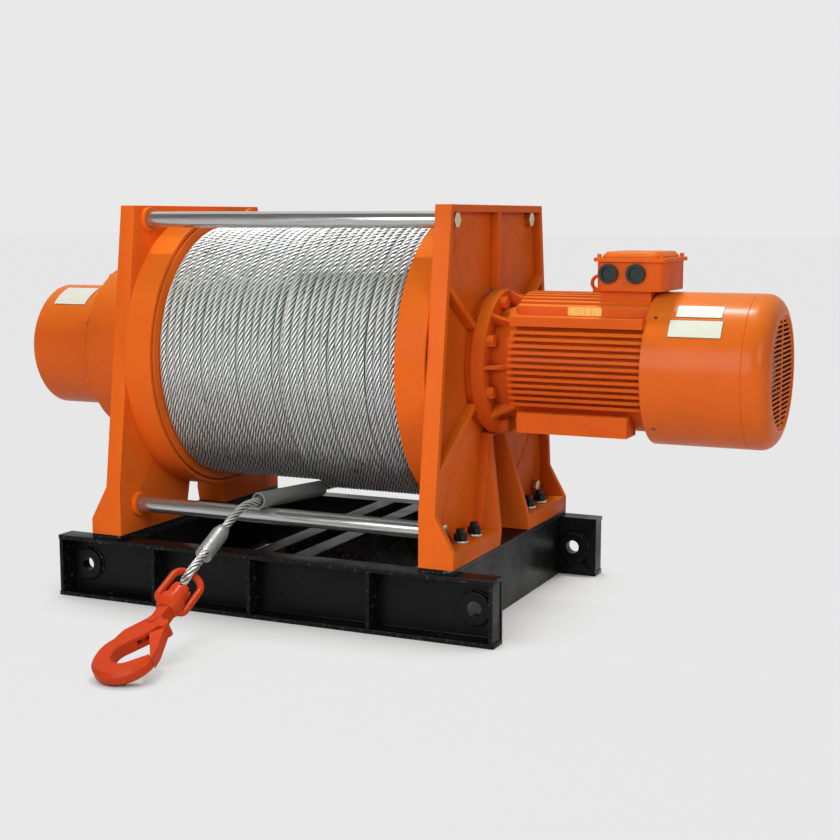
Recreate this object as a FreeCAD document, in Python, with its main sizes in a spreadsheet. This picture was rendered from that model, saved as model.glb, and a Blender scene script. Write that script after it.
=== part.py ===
import FreeCAD
import Part
import Sketcher
import math
import os

# An electric rope winch on a black channel base: X along the drum, +Y to the rear, Z up,
# origin on the floor at the middle of the base. Lengths are in millimetres, angles in degrees.

SIZES = {
    # base frame
    "base_overhang": 81.5,
    "base_margin": 6.5,
    "beam_height": 126.0,
    "beam_flange": 45.0,
    "beam_web": 6.0,
    "beam_lip": 9.0,
    "end_plate": 8.0,
    "end_plate_inset": 2.0,
    "stiffener": 8.0,
    "stiffener_left": -254.0,
    "stiffener_middle": -34.0,
    "stiffener_right": 223.0,
    "lift_inset": 50.0,
    "lift_hole": 28.0,
    "lift_sleeve": 62.0,
    "lift_sleeve_length": 24.0,
    "anchor_end_inset": 112.0,
    "anchor_edge_inset": 17.0,
    "anchor_hole": 22.0,
    "cross_web": 8.0,
    "middle_beam_width": 40.0,
    "middle_beam_left": -20.0,
    "middle_beam_right": 68.0,
    "pad_thickness": 9.0,
    # side frames
    "frame_gap": 657.0,
    "frame_margin": 16.0,
    "frame_top_depth": 482.0,
    "frame_foot_depth": 633.0,
    "frame_kink_rise": 98.0,
    "panel": 14.0,
    "edge_width": 33.0,
    "edge_strip": 14.0,
    "foot_width": 70.0,
    "foot_plate": 31.0,
    "notch_bottom": 160.0,
    "notch_top": 60.0,
    "notch_rise": 208.0,
    "rib": 12.0,
    "rib_angle": 32.0,
    "rib_start": 120.0,
    "rib_reach_upper": 298.0,
    "rib_reach_lower": 352.0,
    "axis_rise": 354.0,
    "centre_bore": 190.0,
    "relief_gap": 2.0,
    # tie bars and fasteners
    "tie_bar": 32.0,
    "tie_top_inset": 43.0,
    "tie_top_drop": 28.0,
    "tie_low_inset": 61.5,
    "tie_low_rise": 57.0,
    "tie_collar": 49.0,
    "tie_collar_length": 9.0,
    "tie_bolt": 20.0,
    "tie_bolt_flats": 27.0,
    "tie_bolt_head": 13.0,
    "tie_bolt_grip": 40.0,
    "foot_bolt_offset": 28.5,
    "foot_bolt_near_inset": 70.0,
    "foot_bolt_far_inset": 98.5,
    "foot_bolt": 16.0,
    "foot_nut_flats": 24.0,
    "foot_nut": 13.0,
    "foot_bolt_end": 9.0,
    "foot_bolt_head": 10.0,
    "washer": 32.0,
    "washer_thickness": 5.0,
    "bolt_clearance": 0.5,
    # drum and wound rope
    "drum_width": 531.0,
    "barrel": 330.0,
    "barrel_wall": 16.0,
    "flange_cover": 1.0,
    "band_wall": 8.0,
    "band_lip": 2.0,
    "drum_flange_thickness": 14.0,
    "flange_gap": 3.0,
    "hub": 20.0,
    "rope": 16.0,
    "rope_layers": 7.0,
    "layer_share": 0.866,
    "top_layer_start": 22.0,
    "wrap_gap": 0.1,
    "groove_depth": 5.0,
    "groove_width": 9.2,
    "running_fit": 0.05,
    "press_gap": 0.02,
    "spigot": 120.0,
    "spigot_flange": 230.0,
    "spigot_flange_thickness": 14.0,
    "bearing_outer": 150.0,
    "output_diameter": 90.0,
    "output_bore": 48.0,
    # gear unit
    "gear_housing": 364.0,
    "gear_housing_length": 170.0,
    "gear_chamfer": 10.0,
    "gear_spigot_length": 40.0,
    "gear_bearing_depth": 110.0,
    "gear_cap": 264.0,
    "gear_cap_length": 174.0,
    "gear_cap_wall": 10.0,
    "gear_cap_round": 8.0,
    "gear_bolt_circle": 330.0,
    "gear_bolt": 10.0,
    "gear_bolt_flats": 17.0,
    "gear_bolt_head": 7.0,
    "gear_bolt_grip": 24.0,
    "gear_bolt_count": 8.0,
    # motor
    "boss_step": 11.0,
    "motor_boss_length": 17.0,
    "flange_step": 2.0,
    "motor_flange_thickness": 26.0,
    "bell_step": 8.0,
    "motor_bell_length": 46.0,
    "flange_rib": 7.0,
    "flange_bolt_inset": 14.0,
    "flange_bolt": 12.0,
    "flange_bolt_flats": 21.0,
    "flange_bolt_head": 13.0,
    "flange_bolt_count": 8.0,
    "fin_height": 19.0,
    "motor_wall": 15.0,
    "motor_length": 256.0,
    "fin_reach": 282.0,
    "fin": 6.2,
    "fin_pitch": 12.4,
    "side_fins": 12.0,
    "top_fin_pitch": 13.0,
    "top_fins": 13.0,
    "upper_pad_inset": 13.0,
    "upper_pad_low": 80.0,
    "upper_pad_high": 98.0,
    "foot_pad_high": 84.0,
    "foot_pad_start": 14.0,
    "foot_pad_length": 215.0,
    "lug_inner": 96.0,
    "lug_step": 4.0,
    "lug_width": 26.0,
    "lug_length": 28.0,
    "lug_angle": 60.0,
    "lug_bolt": 10.0,
    "lug_bolt_flats": 16.0,
    "lug_bolt_head": 8.0,
    "stator_inner": 152.0,
    "stator_length": 170.0,
    "air_gap": 0.6,
    "rear_shield": 16.0,
    "shaft": 42.0,
    "drive_shaft": 36.0,
    "coupling": 72.0,
    "coupling_length": 60.0,
    "brake": 190.0,
    "brake_length": 46.0,
    "brake_gap": 0.5,
    "brake_disc": 176.0,
    "brake_disc_thickness": 9.0,
    "fan_cover_wall": 3.0,
    "fan_cover_length": 183.0,
    "dome_length": 48.0,
    "dome_shoulder": 16.0,
    "grille": 212.0,
    "grille_thickness": 3.0,
    "grille_recess": 2.0,
    "slot": 4.4,
    "slot_pitch": 8.6,
    "slot_bar": 7.0,
    "grille_margin": 6.0,
    "fan": 236.0,
    "fan_hub": 76.0,
    "fan_width": 30.0,
    "fan_blade": 4.0,
    "fan_gap": 12.0,
    "fan_blades": 8.0,
    # terminal box and lifting eye
    "box_x": 152.0,
    "box_length": 128.0,
    "box_depth": 158.0,
    "box_height": 54.0,
    "box_wall": 5.0,
    "box_corner": 14.0,
    "box_seat": 6.0,
    "neck_start": 8.0,
    "neck_length": 94.0,
    "neck_depth": 128.0,
    "lid_overhang": 6.0,
    "lid_rim": 7.0,
    "lid_crown": 11.0,
    "lid_crown_inset": 7.0,
    "lid_bevel": 8.0,
    "lid_screw": 8.0,
    "lid_screw_inset": 11.0,
    "plug": 36.0,
    "plug_length": 8.0,
    "plug_recess": 24.0,
    "plug_recess_depth": 4.0,
    "plug_spread": 52.0,
    "plug_x": 25.0,
    "eye_outer": 34.0,
    "eye_wire": 7.0,
    "eye_x": 134.0,
    "eye_collar": 24.0,
    # rope tail
    "sleeve": 32.0,
    "sleeve_start": 30.0,
    "sleeve_length": 206.0,
    "sleeve_mouth": 25.0,
    "sleeve_mouth_depth": 12.0,
    "ferrule": 32.0,
    "ferrule_length": 82.0,
    "ferrule_taper": 14.0,
    "eye_radius": 16.3,
    "eye_leg": 8.4,
    "eye_shift": 6.0,
    "eye_gap": 0.9,
    "ferrule_end": -50.0,
    "rope_last_run": 66.0,
    # hook, in its own frame: along the shank from the bow, across to the tip, out of its face
    "hook_x": -25.9,
    "hook_y": -516.9,
    "hook_z": 132.9,
    "hook_heading": -87.5,
    "hook_slope": 24.2,
    "hook_roll": 5.0,
    "bow_roll": -38.0,
    "bow_wire": 13.0,
    "bow_half": 28.0,
    "bow_crown": 4.5,
    "bow_seat": 95.0,
    "bow_join": 1.0,
    "bow_base_start": 81.0,
    "bow_base_end": 109.0,
    "bow_base": 48.0,
    "bow_base_neck": 36.0,
    "shank": 24.0,
    "nut": 38.0,
    "nut_start": 48.0,
    "nut_slot": 6.0,
    "nut_slot_depth": 7.0,
    "nut_slots": 3.0,
    "hook_gap": 0.4,
    "hook_thickness": 27.0,
    "hook_back_bevel": 7.0,
    "hook_bevel": 2.5,
    "neck_half": 14.0,
    "shoulder_x": 138.0,
    "back_x": 176.0,
    "back_y": -46.0,
    "bowl_x": 237.0,
    "bowl_y": -5.0,
    "bowl_outer": 59.0,
    "bowl_outer_start": -128.0,
    "bowl_outer_end": 81.0,
    "saddle_x": 234.0,
    "saddle_y": -1.0,
    "saddle": 28.0,
    "saddle_start": 27.0,
    "saddle_end": -122.0,
    "tip_x": 236.0,
    "tip_y": 45.3,
    "root_x": 179.0,
    "root_y": 12.3,
    "root_end_x": 153.2,
    "root_end_y": 29.3,
    "hook_boss": 17.0,
    "hook_boss_x": 146.0,
    "hook_boss_rise": 1.5,
    "gate_pin": 8.0,
    "gate_pin_share": 0.9,
    "knuckle": 18.0,
    "knuckle_gap": 0.5,
    "gate_width": 22.0,
    "gate_ear": 9.0,
    "gate_tongue": 13.0,
    "gate_tongue_length": 26.0,
    "gate_gap": 0.6,
    "gate_inner_x": 181.4,
    "gate_inner_y": 12.9,
    "gate_back_x": 222.0,
    "gate_back_y": 51.5,
    "gate_middle_x": 185.2,
    "gate_middle_y": 41.0,
    "gate_heel_x": 164.4,
    "gate_heel_y": 34.6,
    "trigger_pin": 6.0,
    "trigger_x": 182.0,
    "trigger_y": -22.0,
    "trigger_width": 12.0,
    "trigger_thumb": 32.0,
    "trigger_catch": 26.0,
    "trigger_lean": 4.0,
    "trigger_slot": 32.0,
    "slot_fit": 0.5,
}

doc = FreeCAD.newDocument("electric_winch")
sheet = doc.addObject("Spreadsheet::Sheet", "Sizes")
for row, (name, number) in enumerate(SIZES.items(), start=1):
    sheet.set(f"A{row}", name)
    sheet.set(f"B{row}", str(number))
    sheet.setAlias(f"B{row}", name)
doc.recompute()


# Sizes that keep their formula

class Size:
    """A number together with the sheet formula that it comes from."""

    def __init__(self, formula, number):
        self.formula = formula
        self.number = number

    def __add__(self, other):
        other = as_size(other)
        return Size(f"({self.formula} + {other.formula})", self.number + other.number)

    def __sub__(self, other):
        other = as_size(other)
        return Size(f"({self.formula} - {other.formula})", self.number - other.number)

    def __mul__(self, other):
        other = as_size(other)
        return Size(f"({self.formula} * {other.formula})", self.number * other.number)

    def __truediv__(self, other):
        other = as_size(other)
        return Size(f"({self.formula} / {other.formula})", self.number / other.number)

    def __neg__(self):
        return self * -1

    __radd__ = __add__
    __rmul__ = __mul__

    def __rsub__(self, other):
        return as_size(other) - self


class Sheet:
    """Gives each cell of the sheet by its alias."""

    def __getattr__(self, alias):
        return Size(f"Sizes.{alias}", float(sheet.get(alias)))


def whole(size):
    """A count from the sheet."""
    return int(round(size.number))


def as_size(thing):
    return thing if isinstance(thing, Size) else Size(f"({float(thing)})", float(thing))


def cosine(angle):
    angle = as_size(angle)
    return Size(f"cos({angle.formula} * 1deg)", math.cos(math.radians(angle.number)))


def sine(angle):
    angle = as_size(angle)
    return Size(f"sin({angle.formula} * 1deg)", math.sin(math.radians(angle.number)))


S = Sheet()


# Document helpers

NODES = []
ALONG_X = FreeCAD.Vector(1, 0, 0)
ALONG_Y = FreeCAD.Vector(0, 1, 0)
ALONG_Z = FreeCAD.Vector(0, 0, 1)
FULL_TURN = 360.0
POINT_UP = 30.0
AXES = {
    "x": FreeCAD.Rotation(ALONG_Y, 90).multiply(FreeCAD.Rotation(ALONG_Z, POINT_UP)),
    "y": FreeCAD.Rotation(ALONG_X, -90),
    "z": FreeCAD.Rotation(),
}


def keep(thing, label):
    """Make an object one of the winch's sub-parts."""
    thing.Label = label
    NODES.append(thing)
    return thing


def bind(thing, path, size):
    thing.setExpression(path, as_size(size).formula)


def place(thing, at, rotation=FreeCAD.Rotation()):
    thing.Placement = FreeCAD.Placement(FreeCAD.Vector(), rotation)
    for letter, size in zip("xyz", at):
        bind(thing, f"Placement.Base.{letter}", size)


def box(at, size):
    made = doc.addObject("Part::Box", "Block")
    for side, length in zip(("Length", "Width", "Height"), size):
        bind(made, side, length)
    place(made, at)
    return made


def rod(at, axis, diameter, length):
    made = doc.addObject("Part::Cylinder", "Rod")
    bind(made, "Radius", as_size(diameter) / 2)
    bind(made, "Height", length)
    place(made, at, AXES[axis])
    return made


def hexagon(at, axis, flats, length):
    made = doc.addObject("Part::Prism", "Hexagon")
    made.Polygon = 6
    bind(made, "Circumradius", as_size(flats) / math.sqrt(3))
    bind(made, "Height", length)
    place(made, at, AXES[axis])
    return made


def group(pieces):
    made = doc.addObject("Part::Compound", "Group")
    made.Links = pieces
    return made


def fuse(pieces):
    made = doc.addObject("Part::MultiFuse", "Joined")
    made.Shapes = pieces
    made.Refine = True
    return made


def cut(base, tools):
    made = doc.addObject("Part::Cut", "Cut")
    made.Base = base
    made.Tool = tools[0] if len(tools) == 1 else group(tools)
    return made


def common(first, second):
    made = doc.addObject("Part::MultiCommon", "Common")
    made.Shapes = [first, second]
    return made


def new_body():
    return doc.addObject("PartDesign::Body", "Body")


def outline(owner, role, loops, offset=0):
    """A sketch on an origin plane of a body; a loop is a list of corners or one circle (a, b, radius)."""
    sketch = owner.newObject("Sketcher::SketchObject", "Outline")
    plane = next(one for one in owner.Origin.OriginFeatures if one.Role == role)
    sketch.AttachmentSupport = [(plane, "")]
    sketch.MapMode = "FlatFace"
    bind(sketch, "AttachmentOffset.Base.z", offset)
    for loop in loops:
        if isinstance(loop, tuple):
            add_circle(sketch, *loop)
        else:
            add_corners(sketch, loop)
    return sketch


def pin_point(sketch, geometry, point, at):
    for kind, size in zip(("DistanceX", "DistanceY"), at):
        size = as_size(size)
        index = sketch.addConstraint(Sketcher.Constraint(kind, -1, 1, geometry, point, size.number))
        bind(sketch, f"Constraints[{index}]", size)


def add_circle(sketch, across, up, radius):
    across, up, radius = as_size(across), as_size(up), as_size(radius)
    centre = FreeCAD.Vector(across.number, up.number, 0)
    index = sketch.addGeometry(Part.Circle(centre, FreeCAD.Vector(0, 0, 1), radius.number))
    pin_point(sketch, index, 3, (across, up))
    limit = sketch.addConstraint(Sketcher.Constraint("Radius", index, radius.number))
    bind(sketch, f"Constraints[{limit}]", radius)


def add_corners(sketch, corners):
    spots = [FreeCAD.Vector(as_size(a).number, as_size(b).number, 0) for a, b in corners]
    first = sketch.GeometryCount
    count = len(spots)
    for index in range(count):
        sketch.addGeometry(Part.LineSegment(spots[index], spots[(index + 1) % count]))
    for index in range(count):
        following = first + (index + 1) % count
        sketch.addConstraint(Sketcher.Constraint("Coincident", first + index, 2, following, 1))
    for index, corner in enumerate(corners):
        pin_point(sketch, first + index, 1, corner)


def pad(owner, role, loops, length, offset=0):
    made = owner.newObject("PartDesign::Pad", "Pad")
    made.Profile = outline(owner, role, loops, offset)
    bind(made, "Length", length)
    return made


def turned(corners, at=None, rotation=FreeCAD.Rotation()):
    """A body turned about the X axis from corners (along, radius)."""
    owner = new_body()
    sketch = outline(owner, "XY_Plane", [corners])
    made = owner.newObject("PartDesign::Revolution", "Turned")
    made.Profile = sketch
    made.ReferenceAxis = (sketch, ["H_Axis"])
    made.Angle = FULL_TURN
    place(owner, at or (0, 0, AXIS_Z), rotation)
    return owner


def ring(start, end, outer, inner):
    """A ring about the drum axis from one X to another, by outer and inner diameter."""
    outer, inner = as_size(outer) / 2, as_size(inner) / 2
    return turned([(start, inner), (end, inner), (end, outer), (start, outer)])


def disc(start, end, diameter):
    radius = as_size(diameter) / 2
    return turned([(start, 0), (end, 0), (end, radius), (start, radius)])


def rectangle(low_a, low_b, high_a, high_b):
    return [(low_a, low_b), (high_a, low_b), (high_a, high_b), (low_a, high_b)]


def around(count, circle):
    """Points (across, up) evenly spaced on a bolt circle about the drum axis, half a step from level."""
    for index in range(whole(count)):
        turn = FULL_TURN * (index + 0.5) / whole(count)
        yield (as_size(circle) / 2 * math.cos(math.radians(turn)),
               AXIS_Z + as_size(circle) / 2 * math.sin(math.radians(turn)))


# Shared places

FOOT_Z = S.beam_height + S.pad_thickness
AXIS_Z = FOOT_Z + S.axis_rise
PLATE_IN = S.frame_gap / 2
PANEL_OUT = PLATE_IN + S.panel
FLANGE_IN = S.drum_width / 2
FLANGE_OUT = FLANGE_IN + S.drum_flange_thickness
BASE_DEPTH = S.frame_foot_depth + S.base_margin * 2
WEB_IN = BASE_DEPTH / 2 - S.beam_flange
BASE_LENGTH = (PLATE_IN + S.foot_width + S.base_overhang) * 2
LIFT_X = BASE_LENGTH / 2 - S.lift_inset
ANCHOR_X = BASE_LENGTH / 2 - S.anchor_end_inset
HOUSING_END = -(PANEL_OUT + S.gear_housing_length)
CAP_END = HOUSING_END - S.gear_cap_length
MOTOR_FLANGE_X = PANEL_OUT + S.motor_boss_length
BELL_X = MOTOR_FLANGE_X + S.motor_flange_thickness
FRAME_X = BELL_X + S.motor_bell_length
SHIELD_X = FRAME_X + S.motor_length
SEAM_X = SHIELD_X + S.fan_cover_length
GRILLE_X = SEAM_X + S.dome_length
MOTOR_FLANGE = S.fin_reach + S.flange_step * 2
MOTOR_BOSS = MOTOR_FLANGE - S.boss_step * 2
FLANGE_BOLT_CIRCLE = MOTOR_FLANGE - S.flange_bolt_inset * 2
MOTOR_CORE = S.fin_reach - S.fin_height * 2
MOTOR_BORE = MOTOR_CORE - S.motor_wall * 2
MOTOR_BELL = MOTOR_CORE - S.bell_step * 2
UPPER_PAD_Y = S.fin_reach / 2 - S.upper_pad_inset
LUG_OUTER = S.fin_reach / 2 - S.lug_step
LUG_BOLT_REACH = LUG_OUTER - S.lug_width / 2
FAN_COVER = S.fin_reach + S.fan_cover_wall * 2
BOX_RISE = S.fin_reach / 2 + S.box_seat
LAYER = S.rope * S.layer_share
WOUND = S.barrel / 2 + S.rope + LAYER * (S.rope_layers - 1)
DRUM_FLANGE = (WOUND + LAYER + S.flange_cover) * 2
GUARD_BAND = DRUM_FLANGE + S.flange_gap * 2 + S.band_wall * 2
FRAME_RISE = S.axis_rise + GUARD_BAND / 2 + S.frame_margin
HANDS = (-1, 1)


# Base frame

def make_channel(label, side):
    """A long channel whose open side faces away from the drum, drilled for lifting and anchoring."""
    owner = new_body()
    half = BASE_DEPTH / 2 * side
    web = (BASE_DEPTH / 2 - S.beam_flange) * side
    web_out = (BASE_DEPTH / 2 - S.beam_flange + S.beam_web) * side
    top = S.beam_height - S.beam_lip
    section = [(web, 0), (half, 0), (half, S.beam_lip), (web_out, S.beam_lip),
               (web_out, top), (half, top), (half, S.beam_height), (web, S.beam_height)]
    pad(owner, "YZ_Plane", [section], BASE_LENGTH)
    place(owner, (-BASE_LENGTH / 2, 0, 0))
    tools = []
    for hand in HANDS:
        middle = (WEB_IN + S.beam_web / 2) * side
        tools.append(rod((LIFT_X * hand, middle - S.beam_flange / 2, S.beam_height / 2), "y",
                         S.lift_sleeve + S.press_gap * 2, S.beam_flange))
        tools.append(rod((ANCHOR_X * hand, half - S.anchor_edge_inset * side, -S.beam_lip), "z",
                         S.anchor_hole, S.beam_lip * 3))
    keep(cut(owner, tools), label)


def make_base():
    make_channel("base_channel_front", -1)
    make_channel("base_channel_rear", 1)
    clear_height = S.beam_height - S.beam_lip * 2
    clear_depth = S.beam_flange - S.beam_web
    plates = []
    stiffeners = []
    sleeves = []
    for side in HANDS:
        inner = WEB_IN + S.beam_web if side > 0 else -(BASE_DEPTH / 2)
        for hand in HANDS:
            edge = BASE_LENGTH / 2 - S.end_plate_inset
            start = edge - S.end_plate if hand > 0 else -edge
            plates.append(box((start, inner, S.beam_lip), (S.end_plate, clear_depth, clear_height)))
            middle = (WEB_IN + S.beam_web / 2) * side
            at = (LIFT_X * hand, middle - S.lift_sleeve_length / 2, S.beam_height / 2)
            sleeve = rod(at, "y", S.lift_sleeve, S.lift_sleeve_length)
            sleeves.append(cut(sleeve, [rod(at, "y", S.lift_hole, S.lift_sleeve_length)]))
        for start in (S.stiffener_left, S.stiffener_middle, S.stiffener_right):
            stiffeners.append(box((start, inner, S.beam_lip), (S.stiffener, clear_depth, clear_height)))
    keep(group(plates), "channel_end_plates")
    keep(group(stiffeners), "channel_stiffeners")
    keep(group(sleeves), "lifting_sleeves")
    for label, hand in (("cross_channel_left", -1), ("cross_channel_right", 1)):
        make_cross_channel(label, hand)
    beams = []
    for middle in (S.middle_beam_left, S.middle_beam_right):
        owner = new_body()
        half = S.middle_beam_width / 2
        top = S.beam_height
        section = [(-half, 0), (half, 0), (half, top), (-half, top)]
        hollow = rectangle(S.cross_web - half, S.beam_lip, half - S.cross_web, top - S.beam_lip)
        pad(owner, "XZ_Plane", [section, hollow], WEB_IN * 2)
        place(owner, (middle, WEB_IN, 0))
        beams.append(owner)
    keep(group(beams), "middle_beams")


def foot_bolt_spots(hand):
    for side in HANDS:
        for reach in (S.notch_bottom / 2 + S.foot_bolt_near_inset,
                      S.frame_foot_depth / 2 - S.foot_bolt_far_inset):
            yield ((PANEL_OUT + S.foot_bolt_offset) * hand, reach * side)


def foot_bolt_holes(hand, low, length):
    size = S.foot_bolt + S.bolt_clearance * 2
    return [rod((x, y, low), "z", size, length) for x, y in foot_bolt_spots(hand)]


def make_cross_channel(label, hand):
    """A cross channel under a side frame, its web flush with the outer edge of the feet."""
    owner = new_body()
    inner = PLATE_IN * hand
    outer = (PLATE_IN + S.foot_width) * hand
    web = (PLATE_IN + S.foot_width - S.cross_web) * hand
    top = S.beam_height - S.beam_lip
    section = [(inner, 0), (outer, 0), (outer, S.beam_height), (inner, S.beam_height),
               (inner, top), (web, top), (web, S.beam_lip), (inner, S.beam_lip)]
    pad(owner, "XZ_Plane", [section], WEB_IN * 2)
    place(owner, (0, WEB_IN, 0))
    keep(cut(owner, foot_bolt_holes(hand, top - S.beam_lip, S.beam_lip * 3)), label)


# Side frames

def make_pads():
    pads = []
    for hand in HANDS:
        start = PLATE_IN if hand > 0 else -(PLATE_IN + S.foot_width)
        plate = box((start, -S.frame_foot_depth / 2, S.beam_height),
                    (S.foot_width, S.frame_foot_depth, S.pad_thickness))
        holes = foot_bolt_holes(hand, S.beam_height - S.pad_thickness, S.pad_thickness * 3)
        pads.append(cut(plate, holes))
    keep(group(pads), "pad_plates")


def frame_outline(inset):
    """The side plate's outline, drawn in by the strip thickness where inset is given."""
    half_top = S.frame_top_depth / 2
    half_foot = S.frame_foot_depth / 2
    lean = (half_foot - half_top) / (FRAME_RISE - S.frame_kink_rise)
    top = FOOT_Z + FRAME_RISE
    kink = FOOT_Z + S.frame_kink_rise
    upper = half_top - inset + lean * inset
    lower = half_foot - inset
    notch_low = S.notch_bottom / 2 + inset
    notch_high = S.notch_top / 2 + inset
    notch = FOOT_Z + S.notch_rise + inset
    floor = FOOT_Z + inset
    return [(-lower, floor), (-lower, kink), (-upper, top - inset), (upper, top - inset), (lower, kink),
            (lower, floor), (notch_low, floor), (notch_high, notch), (-notch_high, notch),
            (-notch_low, floor)]


def rib_outline(angle, side, start, reach):
    """A radial rib across the plate, as a thin rectangle turned about the drum axis."""
    along = (cosine(angle) * side, sine(angle))
    across = (sine(angle) * -1 * side, cosine(angle))
    corners = []
    for distance, half in ((start, -0.5), (reach, -0.5), (reach, 0.5), (start, 0.5)):
        shift = S.rib * half
        corners.append((along[0] * distance + across[0] * shift,
                        AXIS_Z + along[1] * distance + across[1] * shift))
    return corners


def make_side_frame(label, hand, relief):
    """A welded plate frame: panel, edge strips, ribs, feet and tapered foot gussets."""
    turn = FreeCAD.Rotation(ALONG_Z, 0 if hand > 0 else FULL_TURN / 2)
    at = (PLATE_IN * hand, 0, 0)
    owner = new_body()
    top = FOOT_Z + FRAME_RISE
    half_foot = S.frame_foot_depth / 2
    foot_top = FOOT_Z + S.foot_plate
    pad(owner, "YZ_Plane", [frame_outline(as_size(0))], S.panel)
    pad(owner, "YZ_Plane", [frame_outline(as_size(0)), frame_outline(S.edge_strip)], S.edge_width)
    feet = [rectangle(S.notch_bottom / 2, FOOT_Z, half_foot, foot_top),
            rectangle(-half_foot, FOOT_Z, -S.notch_bottom / 2, foot_top)]
    pad(owner, "YZ_Plane", feet, S.foot_width)
    upright = rectangle(-S.rib / 2, AXIS_Z + S.rib_start, S.rib / 2, top - S.edge_strip / 2)
    pad(owner, "YZ_Plane", [upright], S.edge_width)
    for side in HANDS:
        pad(owner, "YZ_Plane", [rib_outline(S.rib_angle, side, S.rib_start, S.rib_reach_upper)],
            S.edge_width)
        pad(owner, "YZ_Plane", [rib_outline(-S.rib_angle, side, S.rib_start, S.rib_reach_lower)],
            S.edge_width)
    place(owner, at, turn)
    frame = fuse([owner] + make_gussets(at, turn))
    length = S.foot_width + S.panel
    start = PLATE_IN - S.panel / 2 if hand > 0 else -(PLATE_IN - S.panel / 2) - length
    outside = PANEL_OUT if hand > 0 else -(PANEL_OUT + length)
    tools = [rod((start, 0, AXIS_Z), "x", S.centre_bore, length),
             rod((outside, 0, AXIS_Z), "x", relief + S.relief_gap * 2, length)]
    for y, z in tie_spots():
        tools.append(rod((start, y, z), "x", S.tie_bolt + S.bolt_clearance * 2, length))
    tools += foot_bolt_holes(hand, FOOT_Z - S.foot_plate, S.foot_plate * 3)
    keep(cut(cut(frame, tools[:2]), tools[2:]), label)


def make_gussets(at, turn):
    """Foot gussets that widen the edge strips down to the full width of the feet."""
    half_foot = S.frame_foot_depth / 2
    kink = FOOT_Z + S.frame_kink_rise
    notch = FOOT_Z + S.notch_rise
    low = S.notch_bottom / 2
    high = S.notch_top / 2
    outer = [rectangle((half_foot - S.edge_strip) * side, FOOT_Z, half_foot * side, kink) for side in HANDS]
    inner = [[(low * side, FOOT_Z), ((low + S.edge_strip) * side, FOOT_Z),
              ((high + S.edge_strip) * side, notch), (high * side, notch)] for side in HANDS]
    return [tapered_strips(at, turn, outer, kink), tapered_strips(at, turn, inner, notch)]


def tapered_strips(at, turn, loops, taper_top):
    """Strips on the side plate that narrow from the foot's width to the edge width."""
    strips = new_body()
    pad(strips, "YZ_Plane", loops, S.foot_width)
    place(strips, at, turn)
    profile = new_body()
    corners = [(0, FOOT_Z), (S.foot_width, FOOT_Z), (S.foot_width, FOOT_Z + S.foot_plate),
               (S.edge_width, taper_top), (0, taper_top)]
    pad(profile, "XZ_Plane", [corners], S.frame_foot_depth, -(S.frame_foot_depth / 2))
    place(profile, at, turn)
    return common(strips, profile)


def make_guard_bands():
    """Fixed rings on the side plates that reach round the rims of the drum flanges."""
    inner = FLANGE_IN + S.band_lip
    bore = GUARD_BAND - S.band_wall * 2
    bands = [ring(-PLATE_IN, -inner, GUARD_BAND, bore), ring(inner, PLATE_IN, GUARD_BAND, bore)]
    keep(group(bands), "guard_bands")


# Tie bars and fasteners

def tie_spots():
    for side in HANDS:
        yield ((S.frame_top_depth / 2 - S.tie_top_inset) * side, FOOT_Z + FRAME_RISE - S.tie_top_drop)
        yield ((S.frame_foot_depth / 2 - S.tie_low_inset) * side, FOOT_Z + S.tie_low_rise)


def make_tie_bars():
    bars = []
    collars = []
    bolts = []
    hole = S.tie_bolt + S.press_gap * 2
    for y, z in tie_spots():
        bar = rod((-PLATE_IN, y, z), "x", S.tie_bar, PLATE_IN * 2)
        drills = [rod((-PLATE_IN, y, z), "x", hole, S.tie_bolt_grip),
                  rod((PLATE_IN - S.tie_bolt_grip, y, z), "x", hole, S.tie_bolt_grip)]
        bars.append(cut(bar, drills))
        for hand in HANDS:
            inner = PLATE_IN - S.tie_collar_length if hand > 0 else -PLATE_IN
            collar = rod((inner, y, z), "x", S.tie_collar, S.tie_collar_length)
            core = rod((inner, y, z), "x", S.tie_bar + S.press_gap * 2, S.tie_collar_length)
            collars.append(cut(collar, [core]))
            grip = S.panel + S.tie_bolt_grip
            shank = PLATE_IN - S.tie_bolt_grip if hand > 0 else -PANEL_OUT
            head = PANEL_OUT if hand > 0 else -(PANEL_OUT + S.tie_bolt_head)
            bolts.append(fuse([rod((shank, y, z), "x", S.tie_bolt, grip),
                               hexagon((head, y, z), "x", S.tie_bolt_flats, S.tie_bolt_head)]))
    keep(group(bars), "tie_bars")
    keep(group(collars), "tie_bar_collars")
    keep(group(bolts), "tie_bar_bolts")


def make_foot_bolts():
    bolts = []
    washers = []
    seat = FOOT_Z + S.foot_plate
    low = S.beam_height - S.beam_lip
    top = seat + S.washer_thickness + S.foot_nut + S.foot_bolt_end
    for hand in HANDS:
        for x, y in foot_bolt_spots(hand):
            flat = rod((x, y, seat), "z", S.washer, S.washer_thickness)
            hole = rod((x, y, seat), "z", S.foot_bolt + S.press_gap * 2, S.washer_thickness)
            washers.append(cut(flat, [hole]))
            bolts.append(fuse([rod((x, y, low), "z", S.foot_bolt, top - low),
                               hexagon((x, y, low - S.foot_bolt_head), "z", S.foot_nut_flats,
                                       S.foot_bolt_head),
                               hexagon((x, y, seat + S.washer_thickness), "z", S.foot_nut_flats,
                                       S.foot_nut)]))
    keep(group(bolts), "foot_bolts")
    keep(group(washers), "foot_washers")


# Drum and wound rope

BARREL_BORE = S.barrel - S.barrel_wall * 2
WRAP = S.rope + S.wrap_gap
SPIGOT_END = FLANGE_IN - S.hub


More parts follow.
